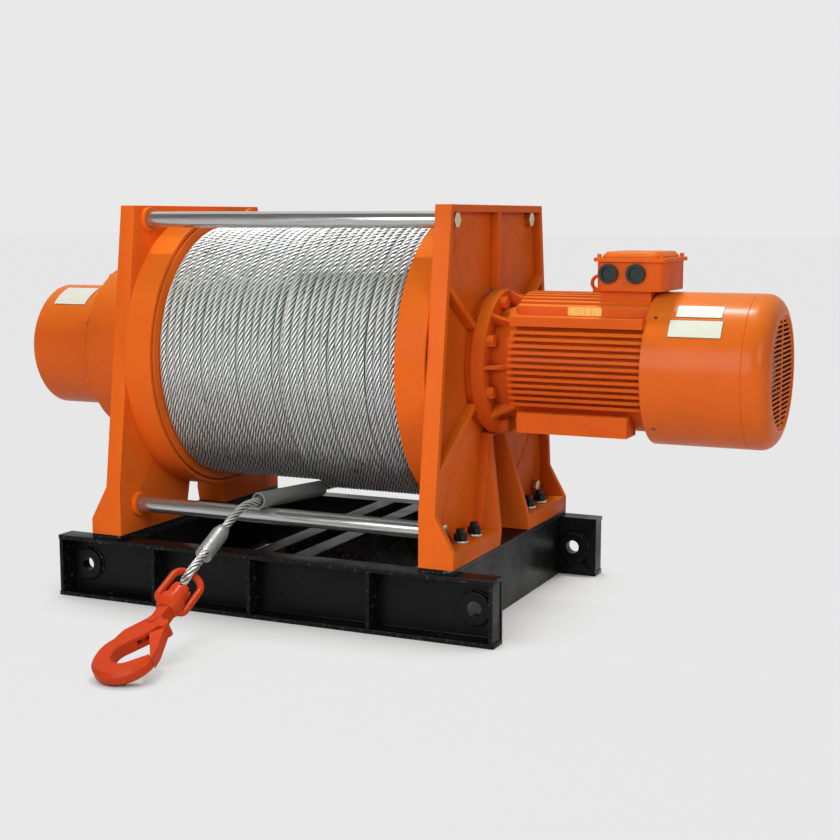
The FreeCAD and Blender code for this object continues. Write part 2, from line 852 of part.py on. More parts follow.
def make_drum():
    keep(ring(-FLANGE_IN, FLANGE_IN, S.barrel, BARREL_BORE), "drum_barrel")
    keep(ring(-FLANGE_OUT, -FLANGE_IN, DRUM_FLANGE, BARREL_BORE), "drum_flange_left")
    keep(ring(FLANGE_IN, FLANGE_OUT, DRUM_FLANGE, BARREL_BORE), "drum_flange_right")
    hub = BARREL_BORE - S.press_gap * 2
    keep(ring(-FLANGE_IN, S.hub - FLANGE_IN, hub, S.output_diameter + S.press_gap * 2), "drum_hub_left")
    keep(ring(SPIGOT_END, FLANGE_IN, hub, S.bearing_outer), "drum_hub_right")
    keep(ring(SPIGOT_END, FLANGE_IN, S.bearing_outer - S.press_gap * 2, S.spigot + S.running_fit * 2),
         "drum_bearing")
    make_winding()
    deep = -(PANEL_OUT + S.gear_bearing_depth - S.flange_gap)
    keep(ring(deep, S.hub - FLANGE_IN, S.output_diameter, S.output_bore), "gear_output_shaft")


def make_winding():
    """The wound rope: full layers, the started top layer on the right, and a groove between wraps."""
    inner = S.barrel / 2 + S.press_gap
    left = S.press_gap - FLANGE_IN
    right = FLANGE_IN - S.press_gap
    step = S.top_layer_start
    owner = turned([(left, inner), (right, inner), (right, WOUND + LAYER), (step, WOUND + LAYER),
                    (step, WOUND), (left, WOUND)])
    cut_grooves(owner, left + WRAP, step - S.rope, WOUND)
    cut_grooves(owner, step + WRAP, right - S.rope, WOUND + LAYER)
    keep(owner, "rope_winding")


def cut_grooves(owner, first, last, radius):
    """A row of grooves from one X to another: one groove turned into the wound rope, then repeated."""
    half = S.groove_width / 2
    top = radius + S.groove_depth
    corners = [(first, radius - S.groove_depth), (first + half, radius), (first + half, top),
               (first - half, top), (first - half, radius)]
    sketch = outline(owner, "XY_Plane", [corners])
    groove = owner.newObject("PartDesign::Groove", "Groove")
    groove.Profile = sketch
    groove.ReferenceAxis = (sketch, ["H_Axis"])
    groove.Angle = FULL_TURN
    count = int((last.number - first.number) / WRAP.number) + 1
    row = owner.newObject("PartDesign::LinearPattern", "Grooves")
    row.Originals = [groove]
    row.Direction = (sketch, ["H_Axis"])
    row.Occurrences = count
    bind(row, "Length", WRAP * (count - 1))
    owner.Tip = row


def make_bearing_spigot():
    """The fixed spigot on the right plate that carries the drum's right bearing."""
    bore = S.coupling / 2 + S.flange_gap
    shoulder = PLATE_IN - S.spigot_flange_thickness
    keep(turned([(SPIGOT_END, bore), (PLATE_IN, bore), (PLATE_IN, S.spigot_flange / 2),
                 (shoulder, S.spigot_flange / 2), (shoulder, S.spigot / 2), (SPIGOT_END, S.spigot / 2)]),
         "bearing_spigot")


# Gear unit

def make_gear_unit():
    """The sealed planetary gear unit on the left plate, with its end cap and bolts."""
    bore = S.output_diameter / 2 + S.running_fit
    input_bore = S.drive_shaft / 2 + S.running_fit
    deep = -(PANEL_OUT + S.gear_bearing_depth)
    mouth = -(PANEL_OUT - S.gear_spigot_length)
    spigot = S.centre_bore / 2 - S.press_gap
    outer = S.gear_housing / 2
    housing = turned([(HOUSING_END, input_bore), (deep, input_bore), (deep, bore), (mouth, bore),
                      (mouth, spigot), (-PANEL_OUT, spigot), (-PANEL_OUT, outer),
                      (HOUSING_END + S.gear_chamfer, outer), (HOUSING_END, outer - S.gear_chamfer)])
    cap = S.gear_cap / 2
    wall = S.gear_cap_wall
    end_cap = turned([(HOUSING_END, cap - wall), (HOUSING_END, cap), (CAP_END + S.gear_cap_round, cap),
                      (CAP_END, cap - S.gear_cap_round), (CAP_END, 0), (CAP_END + wall, 0),
                      (CAP_END + wall, cap - wall)])
    drills = []
    bolts = []
    for y, z in around(S.gear_bolt_count, S.gear_bolt_circle):
        drills.append(rod((HOUSING_END, y, z), "x", S.gear_bolt + S.press_gap * 2, S.gear_bolt_grip))
        bolts.append(fuse([rod((HOUSING_END, y, z), "x", S.gear_bolt, S.gear_bolt_grip),
                           hexagon((HOUSING_END - S.gear_bolt_head, y, z), "x", S.gear_bolt_flats,
                                   S.gear_bolt_head)]))
    keep(cut(housing, drills), "gear_housing")
    keep(end_cap, "gear_end_cap")
    keep(group(bolts), "gear_bolts")


# Motor

def make_motor_shields():
    bore = S.shaft + S.running_fit * 2
    room = S.coupling + S.flange_gap * 2
    keep(ring(PANEL_OUT, MOTOR_FLANGE_X, MOTOR_BOSS, room), "motor_boss_ring")
    flange = MOTOR_FLANGE / 2
    bell = MOTOR_BELL / 2
    casting = turned([(MOTOR_FLANGE_X, bore / 2), (FRAME_X, bore / 2), (FRAME_X, bell),
                      (BELL_X, bell - S.flange_rib), (BELL_X, flange), (MOTOR_FLANGE_X, flange)])
    ribs = []
    count = whole(S.flange_bolt_count)
    for index in range(count):
        rib = new_body()
        corners = [(BELL_X, bell - S.flange_rib * 2), (FRAME_X, bell - S.flange_rib * 2),
                   (FRAME_X, bell), (BELL_X, flange - S.flange_rib / 2)]
        pad(rib, "XY_Plane", [corners], S.flange_rib, -S.flange_rib / 2)
        place(rib, (0, 0, AXIS_Z), FreeCAD.Rotation(ALONG_X, FULL_TURN * index / count))
        ribs.append(rib)
    drills = []
    bolts = []
    length = S.motor_flange_thickness
    for y, z in around(S.flange_bolt_count, FLANGE_BOLT_CIRCLE):
        drills.append(rod((MOTOR_FLANGE_X, y, z), "x", S.flange_bolt + S.press_gap * 2, length))
        bolts.append(fuse([rod((MOTOR_FLANGE_X, y, z), "x", S.flange_bolt, length),
                           hexagon((BELL_X, y, z), "x", S.flange_bolt_flats, S.flange_bolt_head)]))
    keep(cut(fuse([casting] + ribs), drills), "motor_flange_shield")
    for y, z in lug_spots():
        shank = rod((FRAME_X, y, z), "x", S.lug_bolt, S.lug_length)
        head = hexagon((FRAME_X - S.lug_bolt_head, y, z), "x", S.lug_bolt_flats, S.lug_bolt_head)
        bolts.append(fuse([shank, head]))
    keep(group(bolts), "motor_flange_bolts")
    rear = FAN_COVER - S.fan_cover_wall * 2 - S.press_gap * 2
    keep(ring(SHIELD_X, SHIELD_X + S.rear_shield, rear, bore), "motor_rear_shield")


def lug_turns():
    for angle in (S.lug_angle, -S.lug_angle):
        for side in HANDS:
            yield angle, side


def lug_spots():
    """Points (across, up) of the bolts that join the flange shield to the motor frame."""
    for angle, side in lug_turns():
        yield (cosine(angle) * LUG_BOLT_REACH * side, AXIS_Z + sine(angle) * LUG_BOLT_REACH)


def make_lugs():
    """Square lugs round the front end of the motor frame."""
    lugs = []
    for angle, side in lug_turns():
        lug = new_body()
        corners = rectangle(FRAME_X, S.lug_inner, FRAME_X + S.lug_length, LUG_OUTER)
        pad(lug, "XY_Plane", [corners], S.lug_width, -S.lug_width / 2)
        turn = angle.number if side > 0 else FULL_TURN / 2 - angle.number
        place(lug, (0, 0, AXIS_Z), FreeCAD.Rotation(ALONG_X, turn))
        lugs.append(lug)
    return lugs


def make_motor_frame():
    """The ribbed motor frame: round core, level side fins, top fins, four corner pads and four lugs."""
    length = S.motor_length
    count = whole(S.side_fins)
    fins = []
    for index in range(count):
        middle = AXIS_Z + S.fin_pitch * (index - (count - 1) / 2)
        fins.append(box((FRAME_X, -S.fin_reach / 2, middle - S.fin / 2), (length, S.fin_reach, S.fin)))
    count = whole(S.top_fins)
    for index in range(count):
        across = S.top_fin_pitch * (index - (count - 1) / 2) - S.fin / 2
        fins.append(box((FRAME_X, across, AXIS_Z), (length, S.fin, S.fin_reach / 2)))
    finned = common(fuse(fins), rod((FRAME_X, 0, AXIS_Z), "x", S.fin_reach, length))
    pads = []
    for side in HANDS:
        start = UPPER_PAD_Y - MOTOR_CORE / 4 if side > 0 else -UPPER_PAD_Y
        pads.append(box((FRAME_X, start, AXIS_Z + S.upper_pad_low),
                        (length, MOTOR_CORE / 4, S.upper_pad_high - S.upper_pad_low)))
        start = MOTOR_CORE / 4 if side > 0 else -(MOTOR_CORE / 2)
        pads.append(box((FRAME_X + S.foot_pad_start, start, AXIS_Z - MOTOR_CORE / 2),
                        (S.foot_pad_length, MOTOR_CORE / 4, MOTOR_CORE / 2 - S.foot_pad_high)))
    core = rod((FRAME_X, 0, AXIS_Z), "x", MOTOR_CORE, length)
    body = fuse([core, finned, make_neck()] + pads + make_lugs())
    drills = [rod((FRAME_X, y, z), "x", S.lug_bolt + S.press_gap * 2, S.lug_length) for y, z in lug_spots()]
    bore = rod((FRAME_X, 0, AXIS_Z), "x", MOTOR_BORE, length)
    keep(cut(cut(body, [bore]), drills), "motor_frame")


def make_neck():
    start = FRAME_X + S.box_x + S.neck_start
    return box((start, -S.neck_depth / 2, AXIS_Z + S.upper_pad_low),
               (S.neck_length, S.neck_depth, BOX_RISE - S.upper_pad_low))


def make_motor_inside():
    bore = MOTOR_BORE - S.press_gap * 2
    start = FRAME_X + (S.motor_length - S.stator_length) / 2
    end = start + S.stator_length
    keep(ring(start, end, bore, S.stator_inner), "stator_core")
    keep(ring(start, end, S.stator_inner - S.air_gap * 2, S.shaft + S.press_gap * 2), "rotor_core")
    tail = SEAM_X + S.fan_gap + S.fan_width / 2
    keep(disc(MOTOR_FLANGE_X, tail, S.shaft), "motor_shaft")
    joint = MOTOR_FLANGE_X - S.press_gap
    keep(disc(HOUSING_END + S.gear_bolt_grip, joint, S.drive_shaft), "drive_shaft")
    start = joint - S.coupling_length
    keep(ring(start, joint, S.coupling, S.drive_shaft + S.press_gap * 2), "shaft_coupling")
    magnet = SHIELD_X + S.rear_shield
    disc_x = magnet + S.brake_length + S.brake_gap
    keep(ring(magnet, magnet + S.brake_length, S.brake, S.shaft + S.flange_gap * 2), "brake_magnet")
    keep(ring(disc_x, disc_x + S.brake_disc_thickness, S.brake_disc, S.shaft + S.press_gap * 2),
         "brake_disc")


def make_fan():
    """A straight-bladed fan on the tail of the motor shaft."""
    start = SEAM_X + S.fan_gap
    hub = ring(start - S.fan_width / 2, start + S.fan_width / 2, S.fan_hub, S.shaft + S.press_gap * 2)
    blades = [hub]
    count = whole(S.fan_blades)
    for index in range(count):
        blade = new_body()
        corners = rectangle(start - S.fan_width / 2, S.fan_hub / 2 - S.fan_blade, start + S.fan_width / 2,
                            S.fan / 2)
        pad(blade, "XY_Plane", [corners], S.fan_blade, -S.fan_blade / 2)
        place(blade, (0, 0, AXIS_Z), FreeCAD.Rotation(ALONG_X, FULL_TURN * (index + 0.25) / count))
        blades.append(blade)
    keep(fuse(blades), "cooling_fan")


DOME_STEPS = 6


def make_fan_cover():
    wall = S.fan_cover_wall
    outer = FAN_COVER / 2
    grille = S.grille / 2
    keep(ring(SHIELD_X, SEAM_X, FAN_COVER, FAN_COVER - wall * 2), "fan_cover_barrel")
    keep(turned(dome_corners(outer, grille, wall)), "fan_cover_dome")
    plate = disc(GRILLE_X - S.grille_recess - S.grille_thickness, GRILLE_X - S.grille_recess,
                 S.grille - S.press_gap * 2)
    keep(cut(plate, grille_slots()), "fan_grille")


def dome_corners(outer, inner, wall):
    """The dome's section: a quarter round in even steps from the seam to the grille's rim."""
    depth = S.dome_length - S.dome_shoulder
    drop = outer - inner
    start = SEAM_X + S.dome_shoulder
    steps = [FULL_TURN / 4 * step / DOME_STEPS for step in range(DOME_STEPS + 1)]
    skin = [(start + depth * math.sin(math.radians(a)), inner + drop * math.cos(math.radians(a)))
            for a in steps]
    lining = [(start + (depth - wall) * math.sin(math.radians(a)),
               inner + (drop - wall) * math.cos(math.radians(a))) for a in reversed(steps[:-1])]
    rim = [(GRILLE_X - S.grille_recess - S.grille_thickness, inner)]
    foot = [(GRILLE_X - S.grille_recess - S.grille_thickness, inner + wall)]
    return [(SEAM_X, outer)] + skin + rim + foot + lining + [(SEAM_X, outer - wall)]


def grille_slots():
    """Rows of level air slots, parted by one upright bar, that stop short of the rim."""
    slots = []
    radius = S.grille.number / 2 - S.grille_margin.number
    rows = int(radius / S.slot_pitch.number)
    start = GRILLE_X - S.grille_recess - S.grille_thickness * 2
    for row in range(-rows, rows + 1):
        half = math.sqrt(radius ** 2 - (row * S.slot_pitch.number) ** 2) - S.slot.number
        if half > S.slot_bar.number * 2:
            for side in HANDS:
                inner = S.slot_bar / 2 if side > 0 else -(S.slot_bar / 2 + half)
                slots.append(box((start, inner, AXIS_Z + S.slot_pitch * row - S.slot / 2),
                                 (S.grille_thickness * 3, half, S.slot)))
    return slots


# Terminal box and lifting eye

BOX_START = FRAME_X + S.box_x
BOX_LOW = AXIS_Z + BOX_RISE


def rounded_block(start, depth, low, length, height, corner):
    owner = new_body()
    loop = rectangle(0, -(as_size(depth) / 2), length, as_size(depth) / 2)
    base = pad(owner, "XY_Plane", [loop], height)
    doc.recompute()
    upright = [f"Edge{index + 1}" for index, edge in enumerate(base.Shape.Edges)
               if abs(edge.Vertexes[0].Z - edge.Vertexes[-1].Z) > height.number / 2]
    rounding = owner.newObject("PartDesign::Fillet", "Rounding")
    rounding.Base = (base, upright)
    bind(rounding, "Radius", corner)
    place(owner, (start, 0, low))
    return owner


def bevel_top(owner, height, bevel):
    """Slopes the top edges of a block."""
    doc.recompute()
    block = owner.Tip
    top = [f"Face{index + 1}" for index, face in enumerate(block.Shape.Faces)
           if face.BoundBox.ZMin > height.number - bevel.number / 2]
    slope = owner.newObject("PartDesign::Chamfer", "Slope")
    slope.Base = (block, top)
    bind(slope, "Size", bevel)
    owner.Tip = slope


def make_terminal_box():
    wall = S.box_wall
    shell = rounded_block(BOX_START, S.box_depth, BOX_LOW, S.box_length, S.box_height, S.box_corner)
    room = rounded_block(BOX_START + wall, S.box_depth - wall * 2, BOX_LOW + wall,
                         S.box_length - wall * 2, S.box_height, S.box_corner - wall)
    plug_z = BOX_LOW + S.box_height / 2 + wall
    drills = []
    plugs = []
    for index in range(2):
        x = BOX_START + S.plug_x + S.plug_spread * index
        front = -(S.box_depth / 2)
        drills.append(rod((x, front - wall, plug_z), "y", S.plug_recess + S.press_gap * 2, wall * 3))
        head = rod((x, front - S.plug_length, plug_z), "y", S.plug, S.plug_length)
        stem = rod((x, front, plug_z), "y", S.plug_recess, wall)
        hollow = rod((x, front - S.plug_length, plug_z), "y", S.plug_recess, S.plug_recess_depth)
        plugs.append(cut(fuse([head, stem]), [hollow]))
    keep(cut(shell, [room] + drills), "terminal_box")
    keep(group(plugs), "cable_plugs")
    make_terminal_lid()


def make_terminal_lid():
    over = S.lid_overhang
    low = BOX_LOW + S.box_height
    rim = rounded_block(BOX_START - over, S.box_depth + over * 2, low, S.box_length + over * 2, S.lid_rim,
                        S.box_corner)
    inset = S.lid_crown_inset
    crown = rounded_block(BOX_START + inset, S.box_depth - inset * 2, low + S.lid_rim,
                          S.box_length - inset * 2, S.lid_crown, S.box_corner)
    bevel_top(crown, S.lid_crown, S.lid_bevel)
    drills = []
    screws = []
    for side in HANDS:
        y = (S.box_depth / 2 + over - S.lid_screw_inset) * side
        for x in (BOX_START - over + S.lid_screw_inset,
                  BOX_START + S.box_length + over - S.lid_screw_inset):
            drills.append(rod((x, y, low - over), "z", S.lid_screw + S.press_gap * 2, S.lid_rim * 3))
            screws.append(rod((x, y, low), "z", S.lid_screw, S.lid_rim + S.eye_wire))
    keep(cut(fuse([rim, crown]), drills), "terminal_lid")
    keep(group(screws), "terminal_screws")


def make_lifting_eye():
    x = FRAME_X + S.eye_x
    low = AXIS_Z + S.fin_reach / 2
    wire = doc.addObject("Part::Torus", "Ring")
    bind(wire, "Radius1", (S.eye_outer - S.eye_wire) / 2)
    bind(wire, "Radius2", S.eye_wire / 2)
    place(wire, (x, 0, low + S.eye_outer / 2), AXES["y"])
    keep(fuse([wire, rod((x, 0, low), "z", S.eye_collar, S.eye_wire / 2)]), "lifting_eye")


# Rope tail and its fittings

RUN_SHARE = 0.45
UNDERSIDE = AXIS_Z - WOUND - LAYER
ROPE_POINTS = [(4.0, 4.0, 5.6), (3.0, -46.0, 5.8), (-32.5, -300.0, 15.3)]


def rounded_path(points):
    """Straight runs joined by the largest tangent arcs that the runs allow, and the arc radii."""
    edges = []
    radii = []
    start = points[0]
    for before, corner, after in zip(points, points[1:], points[2:]):
        inward = (before - corner).normalize()
        onward = (after - corner).normalize()
        turn = math.pi - inward.getAngle(onward)
        reach = RUN_SHARE * min((before - corner).Length, (after - corner).Length)
        radii.append(reach / math.tan(turn / 2))
        first = corner + inward * reach
        last = corner + onward * reach
        centre = corner + (inward + onward).normalize() * (radii[-1] / math.cos(turn / 2))
        middle = centre + (corner - centre).normalize() * radii[-1]
        edges.append(Part.LineSegment(start, first).toShape())
        edges.append(Part.Arc(first, middle, last).toShape())
        start = last
    edges.append(Part.LineSegment(start, points[-1]).toShape())
    return Part.Wire(edges), radii


def pipe(points, diameter):
    """A round bar along a rounded path."""
    path, radii = rounded_path(points)
    section = Part.Wire(Part.Circle(points[0], points[1] - points[0], diameter / 2).toShape())
    return path.makePipeShell([section], True, False), path, radii


def add_shape(shape):
    made = doc.addObject("Part::Feature", "Shape")
    made.Shape = shape
    return made


def hook_place(roll, shift=0.0):
    """The hook's own frame, rolled about its shank, with its origin moved across the bow."""
    spin = FreeCAD.Rotation(S.hook_heading.number, S.hook_slope.number, roll.number)
    at = FreeCAD.Vector(S.hook_x.number, S.hook_y.number, S.hook_z.number)
    return FreeCAD.Placement(at + spin.multVec(ALONG_Y) * shift, spin)


def put_on_hook(thing, roll):
    """Set a piece that is made in the hook's own frame into its place."""
    place(thing, (S.hook_x, S.hook_y, S.hook_z), hook_place(roll).Rotation)


def put_on_eye(thing):
    """Set a piece of the rope's end into its place, beside the middle of the bow."""
    spin = hook_place(S.bow_roll).Rotation
    across = spin.multVec(ALONG_Y)
    place(thing, (S.hook_x - S.eye_shift * across.x, S.hook_y - S.eye_shift * across.y,
                  S.hook_z - S.eye_shift * across.z), spin)


def make_rope_tail():
    """The free rope from the drum through the sleeve to the ferrule, and the pressed eye."""
    frame = hook_place(S.bow_roll, -S.eye_shift.number)
    ferrule_top = S.ferrule_end.number - S.ferrule_length.number
    bend = frame.multVec(ALONG_X * (ferrule_top - S.rope_last_run.number))
    end = frame.multVec(ALONG_X * ferrule_top)
    under = ALONG_Z * UNDERSIDE.number
    points = [FreeCAD.Vector(*point) + under for point in ROPE_POINTS] + [bend, end]
    rope, path, radii = pipe(points, S.rope.number)
    expected = math.pi * S.rope.number ** 2 / 4 * path.Length
    print("rope radii", [round(radius) for radius in radii], "length", round(path.Length),
          "volume share", round(rope.Volume / expected, 4))
    keep(add_shape(rope), "rope_tail")
    make_sleeve(points[1], (points[2] - points[1]).normalize())
    low = S.ferrule_end - S.ferrule_length
    neck = S.ferrule / 2 - S.rope / 4
    ferrule = turned([(low, 0), (S.ferrule_end, 0), (S.ferrule_end, S.ferrule / 2),
                      (low + S.ferrule_taper, S.ferrule / 2), (low, neck)])
    put_on_eye(ferrule)
    keep(ferrule, "rope_ferrule")
    eye = add_shape(eye_shape())
    put_on_eye(eye)
    keep(eye, "rope_eye")


def make_sleeve(corner, run):
    """The tube on the rope, tight for most of its length and wider at the mouth towards the hook."""
    length = S.sleeve_length.number
    depth = S.sleeve_mouth_depth.number
    start = corner + run * S.sleeve_start.number
    outer = Part.makeCylinder(S.sleeve.number / 2, length, start, run)
    inner = Part.makeCylinder(S.rope.number / 2 + S.press_gap.number, length, start, run)
    mouth = Part.makeCylinder(S.sleeve_mouth.number / 2, depth, start + run * (length - depth), run)
    keep(add_shape(outer.cut(inner).cut(mouth)), "rope_sleeve")


def eye_shape():
    """A loop of rope from the ferrule round the bow, in the plane across the bow."""
    radius = S.eye_radius.number
    crown = S.bow_crown.number + S.bow_wire.number / 2
    centre = crown + S.eye_gap.number + S.rope.number / 2 - radius
    leg = S.eye_leg.number
    distance = math.hypot(centre - S.ferrule_end.number, leg)
    lean = math.atan2(leg, centre - S.ferrule_end.number) - math.asin(radius / distance)
    touch = FreeCAD.Vector(centre + radius * math.sin(lean), 0, radius * math.cos(lean))
    start = FreeCAD.Vector(S.ferrule_end.number - S.rope.number, 0, leg)
    edges = [Part.LineSegment(start, touch).toShape(),
             Part.Arc(touch, ALONG_X * (centre + radius), mirrored(touch)).toShape(),
             Part.LineSegment(mirrored(touch), mirrored(start)).toShape()]
    section = Part.Wire(Part.Circle(start, touch - start, S.rope.number / 2).toShape())
    loop = Part.Wire(edges).makePipeShell([section], True, False)
    side = S.ferrule_length.number
    corner = FreeCAD.Vector(S.ferrule_end.number - side, -side / 2, -side / 2)
    return loop.cut(Part.makeBox(side, side, side, corner))


def mirrored(point):
    return FreeCAD.Vector(point.x, point.y, -point.z)


# Hook

def make_swivel():
    """The bow that the rope pulls on, with the collar that the hook turns in."""
    seat, crown = S.bow_seat.number, S.bow_crown.number
    half, join = S.bow_half.number, S.bow_join.number
    corners = [(seat, -join), (seat, -half), (crown, -half), (crown, half), (seat, half), (seat, join)]
    loop = add_shape(pipe([FreeCAD.Vector(a, b, 0) for a, b in corners], S.bow_wire.number)[0])
    put_on_hook(loop, S.bow_roll)
    start, end = S.bow_base_start, S.bow_base_end
    wide, narrow = S.bow_base / 2, S.bow_base_neck / 2
    shoulder = start + (end - start) / 2
    collar = turned([(start, 0), (end, 0), (end, narrow), (shoulder, wide), (start, wide)])
    put_on_hook(collar, S.bow_roll)
    reach = S.bow_wire
    drill = turned([(start - reach, 0), (end + reach, 0), (end + reach, S.shank / 2 + S.running_fit),
                    (start - reach, S.shank / 2 + S.running_fit)])
    put_on_hook(drill, S.bow_roll)
    keep(cut(fuse([loop, collar]), [drill]), "swivel_bow")


def make_castle_nut():
    start, end = S.nut_start, S.bow_base_start - S.hook_gap
    bore = S.shank / 2 + S.press_gap
    nut = turned([(start, bore), (end, bore), (end, S.nut / 2), (start, S.nut / 2)])
    put_on_hook(nut, S.hook_roll)
    frame = hook_place(S.hook_roll)
    shift = frame.multVec(ALONG_X * S.nut_start.number)
    slots = []
    count = whole(S.nut_slots)
    for index in range(count):
        slot = new_body()
        pad(slot, "YZ_Plane", [rectangle(-S.nut, -(S.nut_slot / 2), S.nut, S.nut_slot / 2)],
            S.nut_slot_depth)
        turn = FreeCAD.Rotation(ALONG_X, FULL_TURN / 2 * index / count)
        slot.Placement = FreeCAD.Placement(shift, frame.Rotation.multiply(turn))
        slots.append(slot)
    keep(cut(nut, [fuse(slots)]), "castle_nut")


def flat(along, across):
    """A point in the hook's middle plane."""
    return FreeCAD.Vector(along.number, across.number, 0)


def spot(middle, radius, angle):
    """A point on a circle in the hook's middle plane, by angle from the shank's line."""
    turn = math.radians(angle.number)
    return middle + FreeCAD.Vector(math.cos(turn), math.sin(turn), 0) * radius.number


def tip_outer():
    return spot(flat(S.bowl_x, S.bowl_y), S.bowl_outer, S.bowl_outer_end)


def gate_pin_at():
    """The gate's pin sits on the face that the gate's root shuts against."""
    root, end = flat(S.root_x, S.root_y), flat(S.root_end_x, S.root_end_y)
    return root + (end - root) * S.gate_pin_share.number


def line(first, last):
    return Part.LineSegment(first, last).toShape()


def hook_back():
    """The convex side of the hook: neck, shoulder, spine and the outer round of the bowl."""
    bowl = flat(S.bowl_x, S.bowl_y)
    collar = S.bow_base_end + S.hook_gap
    points = [flat(collar, -S.neck_half), flat(S.shoulder_x, -S.neck_half), flat(S.back_x, S.back_y),
              spot(bowl, S.bowl_outer, S.bowl_outer_start)]
    runs = [line(first, last) for first, last in zip(points, points[1:])]
    far = bowl + ALONG_X * S.bowl_outer.number
    return runs + [Part.Arc(points[-1], far, tip_outer()).toShape()]


def hook_throat():
    """The concave side: tip, saddle, the root that the gate shuts on, and back to the neck."""
    saddle = flat(S.saddle_x, S.saddle_y)
    first = spot(saddle, S.saddle, S.saddle_start)
    deepest = spot(saddle, S.saddle, (S.saddle_start + S.saddle_end) / 2)
    last = spot(saddle, S.saddle, S.saddle_end)
    collar = S.bow_base_end + S.hook_gap
    tip = flat(S.tip_x, S.tip_y)
    points = [last, flat(S.root_x, S.root_y), flat(S.root_end_x, S.root_end_y),
              flat(S.shoulder_x, S.neck_half), flat(collar, S.neck_half), flat(collar, -S.neck_half)]
    runs = [line(one, other) for one, other in zip(points, points[1:])]
    return [line(tip_outer(), tip), line(tip, first), Part.Arc(first, deepest, last).toShape()] + runs


def slab(face, thickness):
    """A plate of a given thickness about the hook's middle plane."""
    plate = face.extrude(ALONG_Z * thickness)
    plate.translate(ALONG_Z * (-thickness / 2))
    return plate


def middle_of(edge):
    """The middle of an edge, seen along the plate's thickness."""
    at = edge.valueAt((edge.FirstParameter + edge.LastParameter) / 2)
    return FreeCAD.Vector(at.x, at.y, 0)


def rims(plate, runs):
    """The edges on both faces of a plate that stand over given runs of its outline."""
    spots = [middle_of(run) for run in runs]
    close = S.press_gap.number
    level = [edge for edge in plate.Edges if edge.BoundBox.ZLength < close]
    return [edge for edge in level if any((middle_of(edge) - at).Length < close for at in spots)]


def disc_at(middle, diameter, thickness):
    """A round plate about the hook's middle plane."""
    return Part.makeCylinder(diameter / 2, thickness, middle - ALONG_Z * (thickness / 2))


def make_hook():
    """The hook: shank, neck with its boss, bevelled bowl, knuckle cheeks and the trigger's slot."""
    thickness = S.hook_thickness.number
    back, throat = hook_back(), hook_throat()
    body = slab(Part.Face(Part.Wire(back + throat)), thickness)
    body = body.makeChamfer(S.hook_back_bevel.number, rims(body, back))
    body = body.makeChamfer(S.hook_bevel.number, rims(body, throat[1:4]))
    start, collar = S.nut_start.number, (S.bow_base_end + S.hook_gap).number
    shank = Part.makeCylinder(S.shank.number / 2, collar - start, ALONG_X * start, ALONG_X)
    boss = disc_at(ALONG_X * S.hook_boss_x.number, S.hook_boss.number,
                   thickness + S.hook_boss_rise.number * 2)
    cheeks = disc_at(gate_pin_at(), S.knuckle.number, thickness)
    body = body.fuse([shank, boss, cheeks]).removeSplitter()
    slot = (S.gate_ear + S.slot_fit * 2).number
    gap = S.knuckle_gap.number * 2
    body = body.cut(disc_at(gate_pin_at(), S.knuckle.number + gap * 2, slot))
    reach = S.bowl_outer.number
    width = S.trigger_slot.number
    corner = FreeCAD.Vector(S.trigger_x.number - width / 2, S.trigger_y.number - reach, -slot / 2)
    body = body.cut(Part.makeBox(width, reach * 2, slot, corner))
    for at, size in hook_pin_spots():
        body = body.cut(disc_at(at, size + S.press_gap.number * 2, thickness))
    made = add_shape(body)
    put_on_hook(made, S.hook_roll)
    keep(made, "hook_body")


def hook_pin_spots():
    return [(gate_pin_at(), S.gate_pin.number), (flat(S.trigger_x, S.trigger_y), S.trigger_pin.number)]


def make_hook_pins():
    thickness = S.hook_thickness.number
    pins = add_shape(Part.Compound([disc_at(at, size, thickness) for at, size in hook_pin_spots()]))
    put_on_hook(pins, S.hook_roll)
    keep(pins, "hook_pins")


def polygon(spots):
    return Part.Face(Part.makePolygon(spots + spots[:1]))


def make_gate():
    """The gate: a tongue on the pin between the hook's cheeks and a broad leaf that shuts on the tip."""
    pin_at, pin = hook_pin_spots()[0]
    tip = flat(S.tip_x, S.tip_y)
    seam = (tip_outer() - tip).normalize()
    lift = FreeCAD.Vector(-seam.y, seam.x, 0) * S.gate_gap.number
    leaf = polygon([flat(S.gate_inner_x, S.gate_inner_y), tip + lift, tip_outer() + lift,
                    flat(S.gate_back_x, S.gate_back_y), flat(S.gate_middle_x, S.gate_middle_y),
                    flat(S.gate_heel_x, S.gate_heel_y)])
    width = S.gate_width.number
    gap = S.knuckle_gap.number * 2
    broad = slab(leaf, width).cut(disc_at(pin_at, S.knuckle.number + gap, width))
    onward = (tip + lift - pin_at).normalize()
    aside = FreeCAD.Vector(-onward.y, onward.x, 0) * (S.gate_tongue.number / 2)
    far = pin_at + onward * S.gate_tongue_length.number
    ear = S.gate_ear.number
    tongue = slab(polygon([pin_at - aside, far - aside, far + aside, pin_at + aside]), ear)
    knuckle = disc_at(pin_at, S.knuckle.number - gap, ear)
    shape = broad.fuse([tongue, knuckle]).removeSplitter()
    made = add_shape(shape.cut(disc_at(pin_at, pin + S.running_fit.number * 2, ear)))
    put_on_hook(made, S.hook_roll)
    keep(made, "hook_gate")


